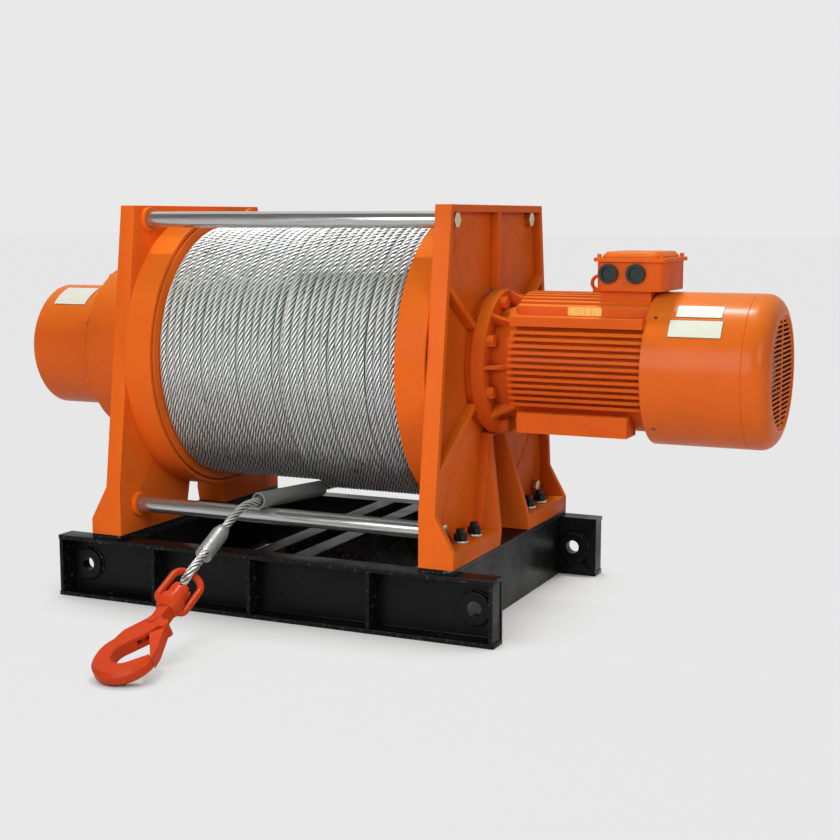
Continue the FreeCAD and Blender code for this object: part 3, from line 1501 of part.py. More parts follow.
def make_trigger():
    """The lever in the hook's spine that frees the gate when its end behind the spine is pressed."""
    pin_at, pin = hook_pin_spots()[1]
    half = S.trigger_width.number / 2
    thumb, catch, lean = S.trigger_thumb.number, S.trigger_catch.number, S.trigger_lean.number
    corners = [(-half, lean - thumb), (half, -thumb), (half, catch - lean), (-half, catch)]
    lever = polygon([pin_at + FreeCAD.Vector(a, b, 0) for a, b in corners])
    ear = S.gate_ear.number
    made = add_shape(slab(lever, ear).cut(disc_at(pin_at, pin + S.running_fit.number * 2, ear)))
    put_on_hook(made, S.hook_roll)
    keep(made, "hook_trigger")


make_base()
make_pads()
make_side_frame("side_frame_left", -1, S.gear_housing)
make_side_frame("side_frame_right", 1, MOTOR_FLANGE)
make_guard_bands()
make_tie_bars()
make_foot_bolts()
make_drum()
make_bearing_spigot()
make_gear_unit()
make_motor_shields()
make_motor_frame()
make_motor_inside()
make_fan()
make_fan_cover()
make_terminal_box()
make_lifting_eye()
make_rope_tail()
make_swivel()
make_castle_nut()
make_hook()
make_hook_pins()
make_gate()
make_trigger()
doc.recompute()

for thing in doc.Objects:
    if "Invalid" in thing.State or "Error" in thing.State:
        raise RuntimeError(f"{thing.Label} did not build: {thing.State}")
for node in NODES:
    if node.Shape.isNull() or not node.Shape.isValid():
        raise RuntimeError(f"{node.Label} has no valid shape")

os.makedirs("parts", exist_ok=True)
for node in NODES:
    node.Shape.exportStep(os.path.join("parts", node.Label + ".step"))
print(len(NODES), "sub-parts")
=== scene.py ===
import math

import bpy
import numpy as np
from mathutils import Euler, Matrix, Vector


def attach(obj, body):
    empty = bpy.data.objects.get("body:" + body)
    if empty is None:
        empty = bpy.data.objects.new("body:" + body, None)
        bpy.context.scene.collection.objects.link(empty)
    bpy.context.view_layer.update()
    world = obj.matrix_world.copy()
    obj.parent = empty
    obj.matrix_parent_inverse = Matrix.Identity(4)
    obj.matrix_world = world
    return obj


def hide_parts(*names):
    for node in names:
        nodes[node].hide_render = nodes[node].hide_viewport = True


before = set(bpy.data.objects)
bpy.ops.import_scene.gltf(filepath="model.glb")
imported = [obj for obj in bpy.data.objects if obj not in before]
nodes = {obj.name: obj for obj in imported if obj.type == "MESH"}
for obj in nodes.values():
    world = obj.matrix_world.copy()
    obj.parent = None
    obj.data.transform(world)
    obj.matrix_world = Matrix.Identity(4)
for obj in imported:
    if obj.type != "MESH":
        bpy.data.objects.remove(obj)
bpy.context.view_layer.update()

# An electric rope winch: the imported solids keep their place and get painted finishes, and the wound
# rope, the free rope end, weld beads, bare plates and screws are modelled around them. Lengths in metres.

scene = bpy.context.scene

# Driving sizes, repeated from the part
AXIS_Z = 0.489
ROPE = 0.016
WRAP_PITCH = 0.0161
DRUM_HALF = 0.2655
TOP_LAYER_START = 0.022
LAYER_SEVEN = 0.25614
LAYER_EIGHT = 0.26999
PANEL_OUT = 0.3425
FAN_RADIUS = 0.144
GEAR_RADIUS = 0.132
LIFTING_HOLE = (0.430, 0.278, 0.063)
ROPE_ROUTE = [(0.004, 0.004, 0.21661), (0.003, -0.046, 0.21681), (-0.0325, -0.300, 0.22631),
              (-0.03844, -0.33819, 0.21743), (-0.03581, -0.39833, 0.19038)]

# The rope eye's own frame, with X along the rope
EYE_PLACE = (-0.0259, -0.5169, 0.1329)
EYE_HEADING = -87.5
EYE_DIP = 24.2
EYE_ROLL = -38.0
EYE_OFFSET = (0.0, -0.006, 0.0)
EYE_FRAME = (Matrix.Translation(EYE_PLACE)
             @ Matrix.Rotation(math.radians(EYE_HEADING), 4, "Z")
             @ Matrix.Rotation(math.radians(EYE_DIP), 4, "Y")
             @ Matrix.Rotation(math.radians(EYE_ROLL), 4, "X")
             @ Matrix.Translation(EYE_OFFSET))
EYE_RADIUS = 0.0163
EYE_END = 0.0279
EYE_LEG = 0.0084
FERRULE_END = -0.050
INSIDE_FERRULE = 0.004

# Colours, linear
ORANGE = (0.73, 0.121, 0.012)
# Lighter, yellower orange for upward faces: painted light from above
TOP_LIT_ORANGE = (0.73, 0.172, 0.015)
CAST_ORANGE = (0.66, 0.098, 0.012)
RED_ORANGE = (0.52, 0.045, 0.009)
BLACK = (0.0032, 0.0032, 0.0034)
SCUFFED_BLACK = (0.012, 0.012, 0.0125)
DUST = (0.05, 0.05, 0.05)
DULL_ZINC = (0.80, 0.81, 0.81)
CLEAN_ZINC = (0.92, 0.93, 0.92)
PALE_ZINC = (0.97, 0.97, 0.96)


# Shader helpers

NOISE_LOW = 0.3
NOISE_HIGH = 0.7


def new_material(name):
    """A material with its node tree and its surface shader."""
    material = bpy.data.materials.new(name)
    material.use_nodes = True
    tree = material.node_tree
    return material, tree, tree.nodes["Principled BSDF"]


def set_inputs(node, values):
    """Sets constant values on a node's sockets."""
    for socket, value in values.items():
        node.inputs[socket].default_value = value


def noise(tree, scale, detail=4.0, roughness=0.55, stretch=None):
    """A noise value in the object's own coordinates, in metres."""
    texture = tree.nodes.new("ShaderNodeTexNoise")
    set_inputs(texture, {"Scale": scale, "Detail": detail, "Roughness": roughness})
    place = tree.nodes.new("ShaderNodeTexCoord").outputs["Object"]
    if stretch:
        mapping = tree.nodes.new("ShaderNodeMapping")
        mapping.inputs["Scale"].default_value = stretch
        tree.links.new(place, mapping.inputs["Vector"])
        place = mapping.outputs["Vector"]
    tree.links.new(place, texture.inputs["Vector"])
    return texture.outputs["Fac"]


def ramp(tree, source, stops):
    """A colour ramp through (position, colour) stops."""
    made = tree.nodes.new("ShaderNodeValToRGB")
    elements = made.color_ramp.elements
    while len(elements) < len(stops):
        elements.new(0.5)
    for element, (position, colour) in zip(elements, stops):
        element.position = position
        element.color = (*colour, 1.0)
    tree.links.new(source, made.inputs["Fac"])
    return made.outputs["Color"]


def grey_ramp(tree, source, stops):
    """A ramp through (position, grey level) stops."""
    return ramp(tree, source, [(position, (level,) * 3) for position, level in stops])


def spread(tree, source, low, high):
    """Maps a noise value to a range."""
    made = tree.nodes.new("ShaderNodeMapRange")
    set_inputs(made, {"From Min": NOISE_LOW, "From Max": NOISE_HIGH, "To Min": low, "To Max": high})
    tree.links.new(source, made.inputs["Value"])
    return made.outputs["Result"]


def add_bump(tree, shader, height, distance, strength, before=None):
    """Raises the surface by a height value, on top of an earlier bump."""
    made = tree.nodes.new("ShaderNodeBump")
    set_inputs(made, {"Distance": distance, "Strength": strength})
    tree.links.new(height, made.inputs["Height"])
    if before is not None:
        tree.links.new(before.outputs["Normal"], made.inputs["Normal"])
    tree.links.new(made.outputs["Normal"], shader.inputs["Normal"])
    return made


def blend(tree, kind, first, second, share=1.0):
    """One colour multiplied by another, or added to it."""
    made = tree.nodes.new("ShaderNodeMix")
    made.data_type = "RGBA"
    made.blend_type = kind
    made.inputs["Factor"].default_value = share
    tree.links.new(first, made.inputs["A"])
    tree.links.new(second, made.inputs["B"])
    return made.outputs["Result"]


def tint(colour, factor):
    return tuple(channel * factor for channel in colour)


# Materials

def make_paint(name, colour, rough, coat, peel, top_lit=None):
    """Sprayed enamel: cloudy colour, upper faces painted lighter as if lit from above, orange peel, painted
    highlights on edges and painted shade in creases.
    """
    material, tree, shader = new_material(name)
    facing = tree.nodes.new("ShaderNodeSeparateXYZ")
    tree.links.new(tree.nodes.new("ShaderNodeTexCoord").outputs["Normal"], facing.inputs["Vector"])
    # Upward faces get the lighter orange: painted light from above
    lit_tops = ramp(tree, facing.outputs["Z"], [(0.25, colour), (0.95, top_lit or colour)])
    mottle = grey_ramp(tree, noise(tree, 5.0, 5.0), [(0.25, 0.86), (0.5, 1.0), (0.75, 1.06)])
    edges = tree.nodes.new("ShaderNodeNewGeometry").outputs["Pointiness"]
    # Painted highlights on sharp edges and painted shade in creases, from how far each point stands out
    edge_lighting = grey_ramp(tree, edges, [(0.46, 0.55), (0.5, 1.0), (0.56, 1.25)])
    clouded = blend(tree, "MULTIPLY", lit_tops, mottle)
    tree.links.new(blend(tree, "MULTIPLY", clouded, edge_lighting, 0.6), shader.inputs["Base Color"])
    smears = noise(tree, 38.0, 6.0, stretch=(1.0, 0.6, 0.6))
    tree.links.new(spread(tree, smears, rough * 0.75, rough * 1.3), shader.inputs["Roughness"])
    waves = add_bump(tree, shader, noise(tree, 26.0, 2.0), 0.0006, 0.5)
    add_bump(tree, shader, noise(tree, 420.0, 2.0), peel, 0.6, waves)
    set_inputs(shader, {"Specular IOR Level": 0.03, "Coat Weight": coat, "Coat Roughness": 0.24})
    return material


def make_black(name):
    """Thick black enamel on hot-rolled steel, with scuffs and dust, and painted glints in pale specks along
    the edges.
    """
    material, tree, shader = new_material(name)
    scuffed = ramp(tree, noise(tree, 55.0, 9.0, 0.7),
                   [(0.3, tint(BLACK, 0.7)), (0.6, BLACK), (0.78, SCUFFED_BLACK), (0.9, DUST)])
    edges = tree.nodes.new("ShaderNodeNewGeometry").outputs["Pointiness"]
    # Pale specks added along sharp edges: painted glints, a painted highlight
    edge_lighting = grey_ramp(tree, edges, [(0.54, 0.0), (0.63, 1.0)])
    glint_specks = grey_ramp(tree, noise(tree, 130.0, 4.0), [(0.56, 0.0), (0.70, 0.20)])
    painted_glints = blend(tree, "MULTIPLY", edge_lighting, glint_specks)
    tree.links.new(blend(tree, "ADD", scuffed, painted_glints), shader.inputs["Base Color"])
    tree.links.new(spread(tree, noise(tree, 12.0, 6.0), 0.26, 0.5), shader.inputs["Roughness"])
    shader.inputs["Specular IOR Level"].default_value = 0.16
    mill_scale = add_bump(tree, shader, noise(tree, 40.0, 3.0, 0.5), 0.0006, 0.35)
    add_bump(tree, shader, noise(tree, 600.0, 2.0), 0.0002, 0.5, mill_scale)
    return material


def make_metal(name, colour, rough, stretch=None, scale=60.0, depth=0.0002, metallic=1.0):
    """A metal with a drawn or ground grain."""
    material, tree, shader = new_material(name)
    grain = noise(tree, scale, 6.0, 0.6, stretch)
    shades = [(NOISE_LOW, tint(colour, 0.8)), (NOISE_HIGH, tint(colour, 1.1))]
    tree.links.new(ramp(tree, grain, shades), shader.inputs["Base Color"])
    tree.links.new(spread(tree, grain, rough * 0.7, rough * 1.4), shader.inputs["Roughness"])
    add_bump(tree, shader, grain, depth, 0.4)
    shader.inputs["Metallic"].default_value = metallic
    return material


def wave(tree, direction, values):
    """Bands across the rope's own coordinates: along it in centimetres, and two units to a strand."""
    texture = tree.nodes.new("ShaderNodeTexWave")
    texture.bands_direction = direction
    set_inputs(texture, values)
    tree.links.new(tree.nodes.new("ShaderNodeUVMap").outputs["UV"], texture.inputs["Vector"])
    return texture.outputs["Fac"]


def make_rope_steel():
    """Galvanised strands: painted shade darkening the valleys between strands, fine wires along the crowns
    and dull patches.
    """
    material, tree, shader = new_material("galvanised_wires")
    one_band_a_strand = math.pi / 20.0
    valleys = wave(tree, "Y", {"Scale": one_band_a_strand, "Detail": 0.0})
    wires = wave(tree, "DIAGONAL", {"Scale": 1.6, "Distortion": 0.6, "Detail": 1.0})
    patches = noise(tree, 42.0, 5.0)
    zinc = ramp(tree, patches, [(0.3, DULL_ZINC), (0.5, CLEAN_ZINC), (0.72, PALE_ZINC)])
    lines = grey_ramp(tree, wires, [(0.1, 0.66), (0.6, 1.0)])
    # The valleys between strands darkened almost to black: painted shade
    valley_shade = grey_ramp(tree, valleys, [(0.02, 0.02), (0.24, 0.38), (0.52, 1.0)])
    lined = blend(tree, "MULTIPLY", zinc, lines, 0.7)
    tree.links.new(blend(tree, "MULTIPLY", lined, valley_shade), shader.inputs["Base Color"])
    tree.links.new(spread(tree, patches, 0.26, 0.44), shader.inputs["Roughness"])
    add_bump(tree, shader, wires, 0.0004, 0.8)
    shader.inputs["Metallic"].default_value = 0.8
    return material


def make_plastic(name, colour, rough, vary=0.25, gloss=0.5):
    """A plastic with a fine grain."""
    material, tree, shader = new_material(name)
    grain = noise(tree, 300.0, 3.0)
    shades = [(NOISE_LOW, tint(colour, 1.0 - vary)), (NOISE_HIGH, tint(colour, 1.0 + vary))]
    tree.links.new(ramp(tree, grain, shades), shader.inputs["Base Color"])
    tree.links.new(spread(tree, grain, rough * 0.8, rough * 1.2), shader.inputs["Roughness"])
    add_bump(tree, shader, grain, 0.0002, 0.5)
    shader.inputs["Specular IOR Level"].default_value = gloss
    return material


PAINT = make_paint("orange_enamel", ORANGE, 0.45, 0.05, 0.00012, TOP_LIT_ORANGE)
COVER_PAINT = make_paint("cover_enamel", ORANGE, 0.45, 0.26, 0.00012, TOP_LIT_ORANGE)
DRUM_PAINT = make_paint("drum_enamel", ORANGE, 0.45, 0.1, 0.00012)
HOOK_PAINT = make_paint("hook_enamel", RED_ORANGE, 0.42, 0.14, 0.0002)
CAST_PAINT = make_paint("cast_enamel", CAST_ORANGE, 0.45, 0.05, 0.0004, TOP_LIT_ORANGE)
BLACK_PAINT = make_black("black_enamel")
CHROME = make_metal("polished_chrome", (0.52, 0.52, 0.50), 0.15, (0.4, 8.0, 8.0), 30.0, 0.00005, 0.85)
ZINC = make_metal("yellow_zinc", (0.62, 0.52, 0.30), 0.34)
BRIGHT_ZINC = make_metal("bright_zinc", (0.66, 0.66, 0.62), 0.34)
STEEL = make_metal("machined_steel", (0.44, 0.44, 0.45), 0.32, (0.5, 6.0, 6.0))
FERRULE_METAL = make_metal("pressed_aluminium", (0.30, 0.305, 0.305), 0.45, None, 150.0, 0.0012, 0.6)
SLEEVE_METAL = make_metal("dull_sleeve", (0.30, 0.305, 0.305), 0.55, None, 160.0, 0.0008, 0.6)
IRON = make_metal("bare_iron", (0.20, 0.20, 0.21), 0.5)
BRASS = make_metal("brass_plate", (0.72, 0.40, 0.09), 0.36, (8.0, 0.5, 0.5), 60.0, 0.0002, 0.5)
SCREW_STEEL = make_metal("browned_screws", (0.16, 0.10, 0.06), 0.4)
ROPE_STEEL = make_rope_steel()
PLUG_BLACK = make_plastic("black_plastic", (0.007, 0.011, 0.012), 0.32, 0.25, 0.22)
LABEL = make_plastic("bare_label", (0.80, 0.79, 0.70), 0.35, 0.04, 0.08)
# A dark sheet under each label, showing as a thin dark border: painted shade round the label's edges
LABEL_EDGE_SHADE = make_plastic("label_edge_shade", (0.05, 0.045, 0.04), 0.5)
# Near black for the rope layers under the outer wraps: painted shade
PAINTED_SHADE = make_plastic("painted_shade_black", (0.006, 0.006, 0.006), 0.7)

# Finishes of the solids; those not named are painted orange
NODE_MATERIALS = [
    (BLACK_PAINT, ["base_channel_front", "base_channel_rear", "channel_end_plates", "channel_stiffeners",
                   "lifting_sleeves", "cross_channel_left", "cross_channel_right", "middle_beams",
                   "pad_plates"]),
    (DRUM_PAINT, ["drum_barrel", "drum_flange_left", "drum_flange_right", "drum_hub_left",
                  "drum_hub_right"]),
    (COVER_PAINT, ["fan_cover_barrel", "fan_cover_dome", "gear_housing", "gear_end_cap"]),
    (CAST_PAINT, ["motor_flange_shield", "motor_frame", "motor_flange_bolts", "terminal_box",
                  "lifting_eye"]),
    (HOOK_PAINT, ["swivel_bow", "castle_nut", "hook_body", "hook_gate", "hook_trigger", "hook_pins"]),
    (CHROME, ["tie_bars"]),
    (ZINC, ["tie_bar_bolts"]),
    (BRIGHT_ZINC, ["foot_washers"]),
    (PLUG_BLACK, ["foot_bolts", "cable_plugs"]),
    (ROPE_STEEL, ["rope_winding", "rope_tail", "rope_eye"]),
    (FERRULE_METAL, ["rope_ferrule", "cooling_fan"]),
    (SLEEVE_METAL, ["rope_sleeve"]),
    (STEEL, ["gear_output_shaft", "drum_bearing", "motor_shaft", "drive_shaft", "shaft_coupling",
             "bearing_spigot"]),
    (IRON, ["rotor_core", "stator_core", "brake_magnet", "brake_disc"]),
]


# Soft edges and shading of the solids

ROUND_NODES = {"fan_cover_barrel", "fan_cover_dome", "gear_housing", "gear_end_cap", "motor_boss_ring",
               "guard_bands", "drum_flange_left", "drum_flange_right", "tie_bars", "tie_bar_collars",
               "cable_plugs", "lifting_eye", "rope_ferrule", "rope_sleeve", "swivel_bow", "castle_nut",
               "hook_body"}
BEVELS = {"side_frame_left": 0.0025, "side_frame_right": 0.0025, "hook_body": 0.003, "hook_gate": 0.003,
          "swivel_bow": 0.002, "castle_nut": 0.0015, "rope_ferrule": 0.003, "terminal_lid": 0.003,
          "terminal_box": 0.002, "gear_housing": 0.003, "gear_end_cap": 0.002}
USUAL_BEVEL = 0.0011
BEVEL_ANGLE = math.radians(32.0)
SHARP_EDGE = math.radians(20.0)
WELD_DISTANCE = 0.00001


def make_flat_shading():
    """A modifier that keeps flat faces flat: every edge past a small angle splits the shading."""
    group = bpy.data.node_groups.new("flat_shading", "GeometryNodeTree")
    group.interface.new_socket("Geometry", in_out="INPUT", socket_type="NodeSocketGeometry")
    group.interface.new_socket("Geometry", in_out="OUTPUT", socket_type="NodeSocketGeometry")
    angle = group.nodes.new("GeometryNodeInputMeshEdgeAngle")
    sharp = group.nodes.new("FunctionNodeCompare")
    sharp.operation = "GREATER_THAN"
    sharp.inputs["B"].default_value = SHARP_EDGE
    normals = group.nodes.new("GeometryNodeSetMeshNormal")
    normals.mode = "SHARPNESS"
    normals.inputs["Remove Custom"].default_value = True
    group.links.new(angle.outputs["Unsigned Angle"], sharp.inputs["A"])
    group.links.new(sharp.outputs["Result"], normals.inputs["Edge Sharpness"])
    group.links.new(group.nodes.new("NodeGroupInput").outputs["Geometry"], normals.inputs["Mesh"])
    group.links.new(normals.outputs["Mesh"], group.nodes.new("NodeGroupOutput").inputs["Geometry"])
    return group


def dress_nodes():
    """Gives every solid its finish, and soft edges that catch the light."""
    chosen = {node: material for material, names in NODE_MATERIALS for node in names}
    flat_shading = make_flat_shading()
    for name, thing in nodes.items():
        thing.data.materials.clear()
        thing.data.materials.append(chosen.get(name, PAINT))
        thing.data.shade_smooth()
        weld = thing.modifiers.new("Weld", "WELD")
        weld.merge_threshold = WELD_DISTANCE
        bevel = thing.modifiers.new("Edges", "BEVEL")
        bevel.width = BEVELS.get(name, USUAL_BEVEL)
        bevel.segments = 2
        bevel.limit_method = "ANGLE"
        bevel.angle_limit = BEVEL_ANGLE
        bevel.use_clamp_overlap = True
        if name in ROUND_NODES:
            normals = thing.modifiers.new("Normals", "WEIGHTED_NORMAL")
            normals.keep_sharp = True
        else:
            normals = thing.modifiers.new("Normals", "NODES")
            normals.node_group = flat_shading


# Mesh helpers

SMOOTH_LIMIT = math.radians(60.0)
FEWEST_POINTS = 8
NEARLY_UPRIGHT = 0.2


def add_mesh(name, points, faces, material, body, smooth=True):
    """A piece that rides on a body."""
    mesh = bpy.data.meshes.new(name)
    mesh.from_pydata(points, [], faces)
    mesh.validate()
    mesh.materials.append(material)
    if smooth:
        mesh.shade_smooth()
        mesh.set_sharp_from_angle(angle=SMOOTH_LIMIT)
    made = bpy.data.objects.new(name, mesh)
    scene.collection.objects.link(made)
    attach(made, body)


def tube_faces(rows, count):
    """The quads between neighbouring rings of a tube with a number of corners to each ring."""
    starts = np.arange(rows - 1)[:, None] * count
    here = starts + np.arange(count)[None, :]
    beside = starts + (np.arange(count)[None, :] + 1) % count
    return np.stack([here, beside, beside + count, here + count], axis=-1).reshape(-1, 4).tolist()


def ring_face(row, count):
    """The corners of one ring of a tube, to close its end."""
    return list(range(row * count, (row + 1) * count))


def distances(points):
    """How far along a path each of its points lies."""
    return np.concatenate([[0.0], np.cumsum(np.linalg.norm(np.diff(points, axis=0), axis=1))])


def evenly(points, spacing):
    """The same path with points at an even spacing, and its length."""
    points = np.asarray(points, float)
    along = distances(points)
    wanted = np.linspace(0.0, along[-1], max(FEWEST_POINTS, int(along[-1] / spacing)))
    return np.stack([np.interp(wanted, along, points[:, axis]) for axis in range(3)], axis=-1), along[-1]


def cross_directions(points):
    """Two directions across a path at each of its points, carried forward without twist."""
    tangents = np.gradient(points, axis=0)
    tangents /= np.linalg.norm(tangents, axis=1)[:, None]
    side = np.cross(tangents[0], (0.0, 0.0, 1.0))
    if np.linalg.norm(side) < NEARLY_UPRIGHT:
        side = np.cross(tangents[0], (1.0, 0.0, 0.0))
    sides = []
    for tangent in tangents:
        side = side - tangent * np.dot(side, tangent)
        side = side / np.linalg.norm(side)
        sides.append(side)
    sides = np.array(sides)
    return sides, np.cross(tangents, sides)


# Laid rope

STRANDS = 6
LAY_LENGTH = 0.080
HALF_STRAND = 180.0 / STRANDS
SECTION_LEANS = (-HALF_STRAND, -22.0, -9.0, 9.0, 22.0)
UNITS_PER_METRE = 100.0
UNITS_PER_STRAND = 2.0


def strand_section():
    """Angle and radius of the corners of a rope's section: round strands about a core."""
    strand = ROPE / 6.0
    centre = ROPE / 2.0 - strand
    corners = []
    for index in range(STRANDS):
        for lean in SECTION_LEANS:
            turn = math.radians(lean)
            bulge = math.sqrt(max(0.0, strand ** 2 - (centre * math.sin(turn)) ** 2))
            corners.append((math.radians(360.0 / STRANDS * index) + turn, centre * math.cos(turn) + bulge))
    return np.array(corners)


def rope_coordinates(along, count):
    """Texture coordinates of a rope's quads: along the rope, and across its strands."""
    in_strand = (np.array(SECTION_LEANS) + HALF_STRAND) / HALF_STRAND
    strand_starts = np.repeat(np.arange(STRANDS) * UNITS_PER_STRAND, len(SECTION_LEANS))
    across = np.append(np.tile(in_strand, STRANDS) + strand_starts, UNITS_PER_STRAND * STRANDS)
    u = np.repeat(along[:-1], count) * UNITS_PER_METRE
    u_next = np.repeat(along[1:], count) * UNITS_PER_METRE
    v = np.tile(across[:-1], len(along) - 1)
    v_next = np.tile(across[1:], len(along) - 1)
    corners = [(u, v), (u, v_next), (u_next, v_next), (u_next, v)]
    return np.stack([np.stack(corner, -1) for corner in corners], axis=1).reshape(-1, 2)


def add_rope(name, points, sides, ups, body):
    """A laid rope: the strand section turned along the path, with lines of wire in its coordinates."""
    along = distances(points)
    section = strand_section()
    rows, count = len(points), len(section)
    angles = section[:, 0][None, :] + 2.0 * math.pi * along[:, None] / LAY_LENGTH
    reach = section[:, 1][None, :, None]
    rings = points[:, None, :] + reach * (np.cos(angles)[..., None] * sides[:, None, :]
                                          + np.sin(angles)[..., None] * ups[:, None, :])
    faces = tube_faces(rows, count) + [ring_face(0, count)[::-1], ring_face(rows - 1, count)]
    mesh = bpy.data.meshes.new(name)
    mesh.from_pydata(rings.reshape(-1, 3).tolist(), [], faces)
    corners = rope_coordinates(along, count)
    values = np.zeros((len(mesh.loops), 2))
    values[:len(corners)] = corners
    mesh.uv_layers.new(name="wires").data.foreach_set("uv", values.ravel())
    mesh.materials.append(ROPE_STEEL)
    mesh.shade_smooth()
    made = bpy.data.objects.new(name, mesh)
    scene.collection.objects.link(made)
    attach(made, body)
    return made


# Wound rope

STEPS_PER_WRAP = 300
CROSSOVER = (0.03, 0.23)
RISE_TURNS = 0.2
LAYER_RISE = 0.014
CORE_SIDES = 96
CORE_RADIUS = 0.2500
CORE_STEP_X = 0.036
CORE_END_GAP = 0.0005
UNDER_ROPE = 0.006


def ease(values):
    """A smooth step from 0 to 1."""
    values = np.clip(values, 0.0, 1.0)
    return values * values * (3.0 - 2.0 * values)


def unevenness(wrap):
    """How far a wrap lies off its even place."""
    return 0.0005 * np.sin(wrap * 2.4) + 0.0004 * np.sin(wrap * 5.3 + 0.7)


def ripple(turns):
    """How far the rope wanders within its wrap."""
    return 0.0003 * np.sin(turns * 5.1) + 0.0002 * np.sin(turns * 13.7 + 1.0)


def wraps(start_x, first_ring, count, radius, rise_first, rise_last):
    """Level wraps from the drum's underside up its back, each stepping to the next one low at the back."""
    steps = count * STEPS_PER_WRAP
    turns = np.linspace(0.0, count, steps)
    whole = np.minimum(np.floor(turns), count - 1)
    step = ease((turns - whole - CROSSOVER[0]) / (CROSSOVER[1] - CROSSOVER[0]))
    before = first_ring + WRAP_PITCH * (whole - 1) + unevenness(whole - 1)
    here = np.where(whole == 0, start_x, before)
    there = first_ring + WRAP_PITCH * whole + unevenness(whole)
    level = np.full(steps, radius)
    if rise_first:
        level -= LAYER_RISE * (1.0 - ease(turns / RISE_TURNS))
    if rise_last:
        level -= LAYER_RISE * ease((turns - count + RISE_TURNS) / RISE_TURNS)
    angles = 2.0 * math.pi * turns - math.pi / 2.0
    outs = np.stack([np.zeros(steps), np.cos(angles), np.sin(angles)], axis=-1)
    points = outs * level[:, None]
    points[:, 0] = here + (there - here) * step + ripple(turns)
    points[:, 2] += AXIS_Z
    return points, np.tile((1.0, 0.0, 0.0), (steps, 1)), outs


def add_core():
    """The layers under the outer wraps, a stepped drum of rope coloured near black as painted shade."""
    top = LAYER_EIGHT - UNDER_ROPE
    stops = [(-DRUM_HALF + CORE_END_GAP, CORE_RADIUS), (CORE_STEP_X, CORE_RADIUS), (CORE_STEP_X, top),
             (DRUM_HALF - CORE_END_GAP, top)]
    turns = [2 * math.pi * k / CORE_SIDES for k in range(CORE_SIDES)]
    points = [(x, r * math.cos(turn), AXIS_Z + r * math.sin(turn)) for x, r in stops for turn in turns]
    faces = tube_faces(len(stops), CORE_SIDES)
    faces += [ring_face(0, CORE_SIDES), ring_face(len(stops) - 1, CORE_SIDES)[::-1]]
    add_mesh("rope_inner_layers", points, faces, PAINTED_SHADE, "drum", smooth=False)


def make_winding():
    left_ring = -DRUM_HALF + WRAP_PITCH / 2.0
    lower_count = int((TOP_LAYER_START + WRAP_PITCH + DRUM_HALF) / WRAP_PITCH)
    lower_wraps = wraps(left_ring, left_ring, lower_count, LAYER_SEVEN, True, True)
    lower = add_rope("rope_layer_seven", *lower_wraps, "drum")
    top_ring = TOP_LAYER_START + WRAP_PITCH / 2.0
    top_count = int((DRUM_HALF - TOP_LAYER_START) / WRAP_PITCH)
    top_wraps = wraps(ROPE_ROUTE[0][0], top_ring, top_count, LAYER_EIGHT, False, True)
    add_rope("rope_layer_eight", *top_wraps, "drum")
    add_core()
    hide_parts("rope_winding")


# Free rope end

TAIL_SPACING = 0.003
EYE_SPACING = 0.0025
EYE_ARC_POINTS = 40


def spline_points(name, route):
    """Points along a smooth spline whose control points are the route."""
    data = bpy.data.curves.new(name, "CURVE")
    data.dimensions = "3D"
    data.resolution_u = 48
    spline = data.splines.new("NURBS")
    spline.points.add(len(route) - 1)
    for point, place in zip(spline.points, route):
        point.co = (*place, 1.0)
    spline.order_u = 3
    spline.use_endpoint_u = True
    holder = bpy.data.objects.new(name, data)
    mesh = bpy.data.meshes.new_from_object(holder)
    points = np.array([vertex.co for vertex in mesh.vertices])
    bpy.data.objects.remove(holder)
    bpy.data.curves.remove(data)
    bpy.data.meshes.remove(mesh)
    return points


def make_tail():
    points, length = evenly(spline_points("rope_route", ROPE_ROUTE), TAIL_SPACING)
    tail = add_rope("rope_free_end", points, *cross_directions(points), "winch_frame")
    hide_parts("rope_tail")
    make_eye()


def make_eye():
    """The rope eye round the bow: two legs from the ferrule and a round end."""
    centre = EYE_END - ROPE / 2.0 - EYE_RADIUS
    span = centre - FERRULE_END
    lean = math.atan2(EYE_LEG, span) - math.asin(EYE_RADIUS / math.hypot(span, EYE_LEG))
    touch = (centre + EYE_RADIUS * math.sin(lean), EYE_RADIUS * math.cos(lean))
    first = math.pi / 2.0 - lean
    path = [(FERRULE_END - INSIDE_FERRULE, EYE_LEG), touch]
    path += [(centre + EYE_RADIUS * math.cos(turn), EYE_RADIUS * math.sin(turn))
             for turn in np.linspace(first, -first, EYE_ARC_POINTS)[1:]]
    path.append((FERRULE_END - INSIDE_FERRULE, -EYE_LEG))
    world = [tuple(EYE_FRAME @ Vector((along, 0.0, out))) for along, out in path]
    points = evenly(world, EYE_SPACING)[0]
    eye = add_rope("rope_eye_strands", points, *cross_directions(points), "winch_frame")
    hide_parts("rope_eye")


# Weld beads

BEAD_SPACING = 0.0035
BEAD_SIDES = 8
ARC_POINTS = 64
SLEEVE_WELD_RADIUS = 0.0325
SLEEVE_BEAD = 0.0028
SLEEVE_WELD_FACES = ((0.0060, "outer"), (-0.0001, "inner"))
PLATE_WELD_RADIUS = 0.287
PLATE_BEAD = 0.0016
PLATE_WELDS = ((28.0, 152.0, "upper"), (208.0, 250.0, "lower_rear"), (290.0, 332.0, "lower_front"))


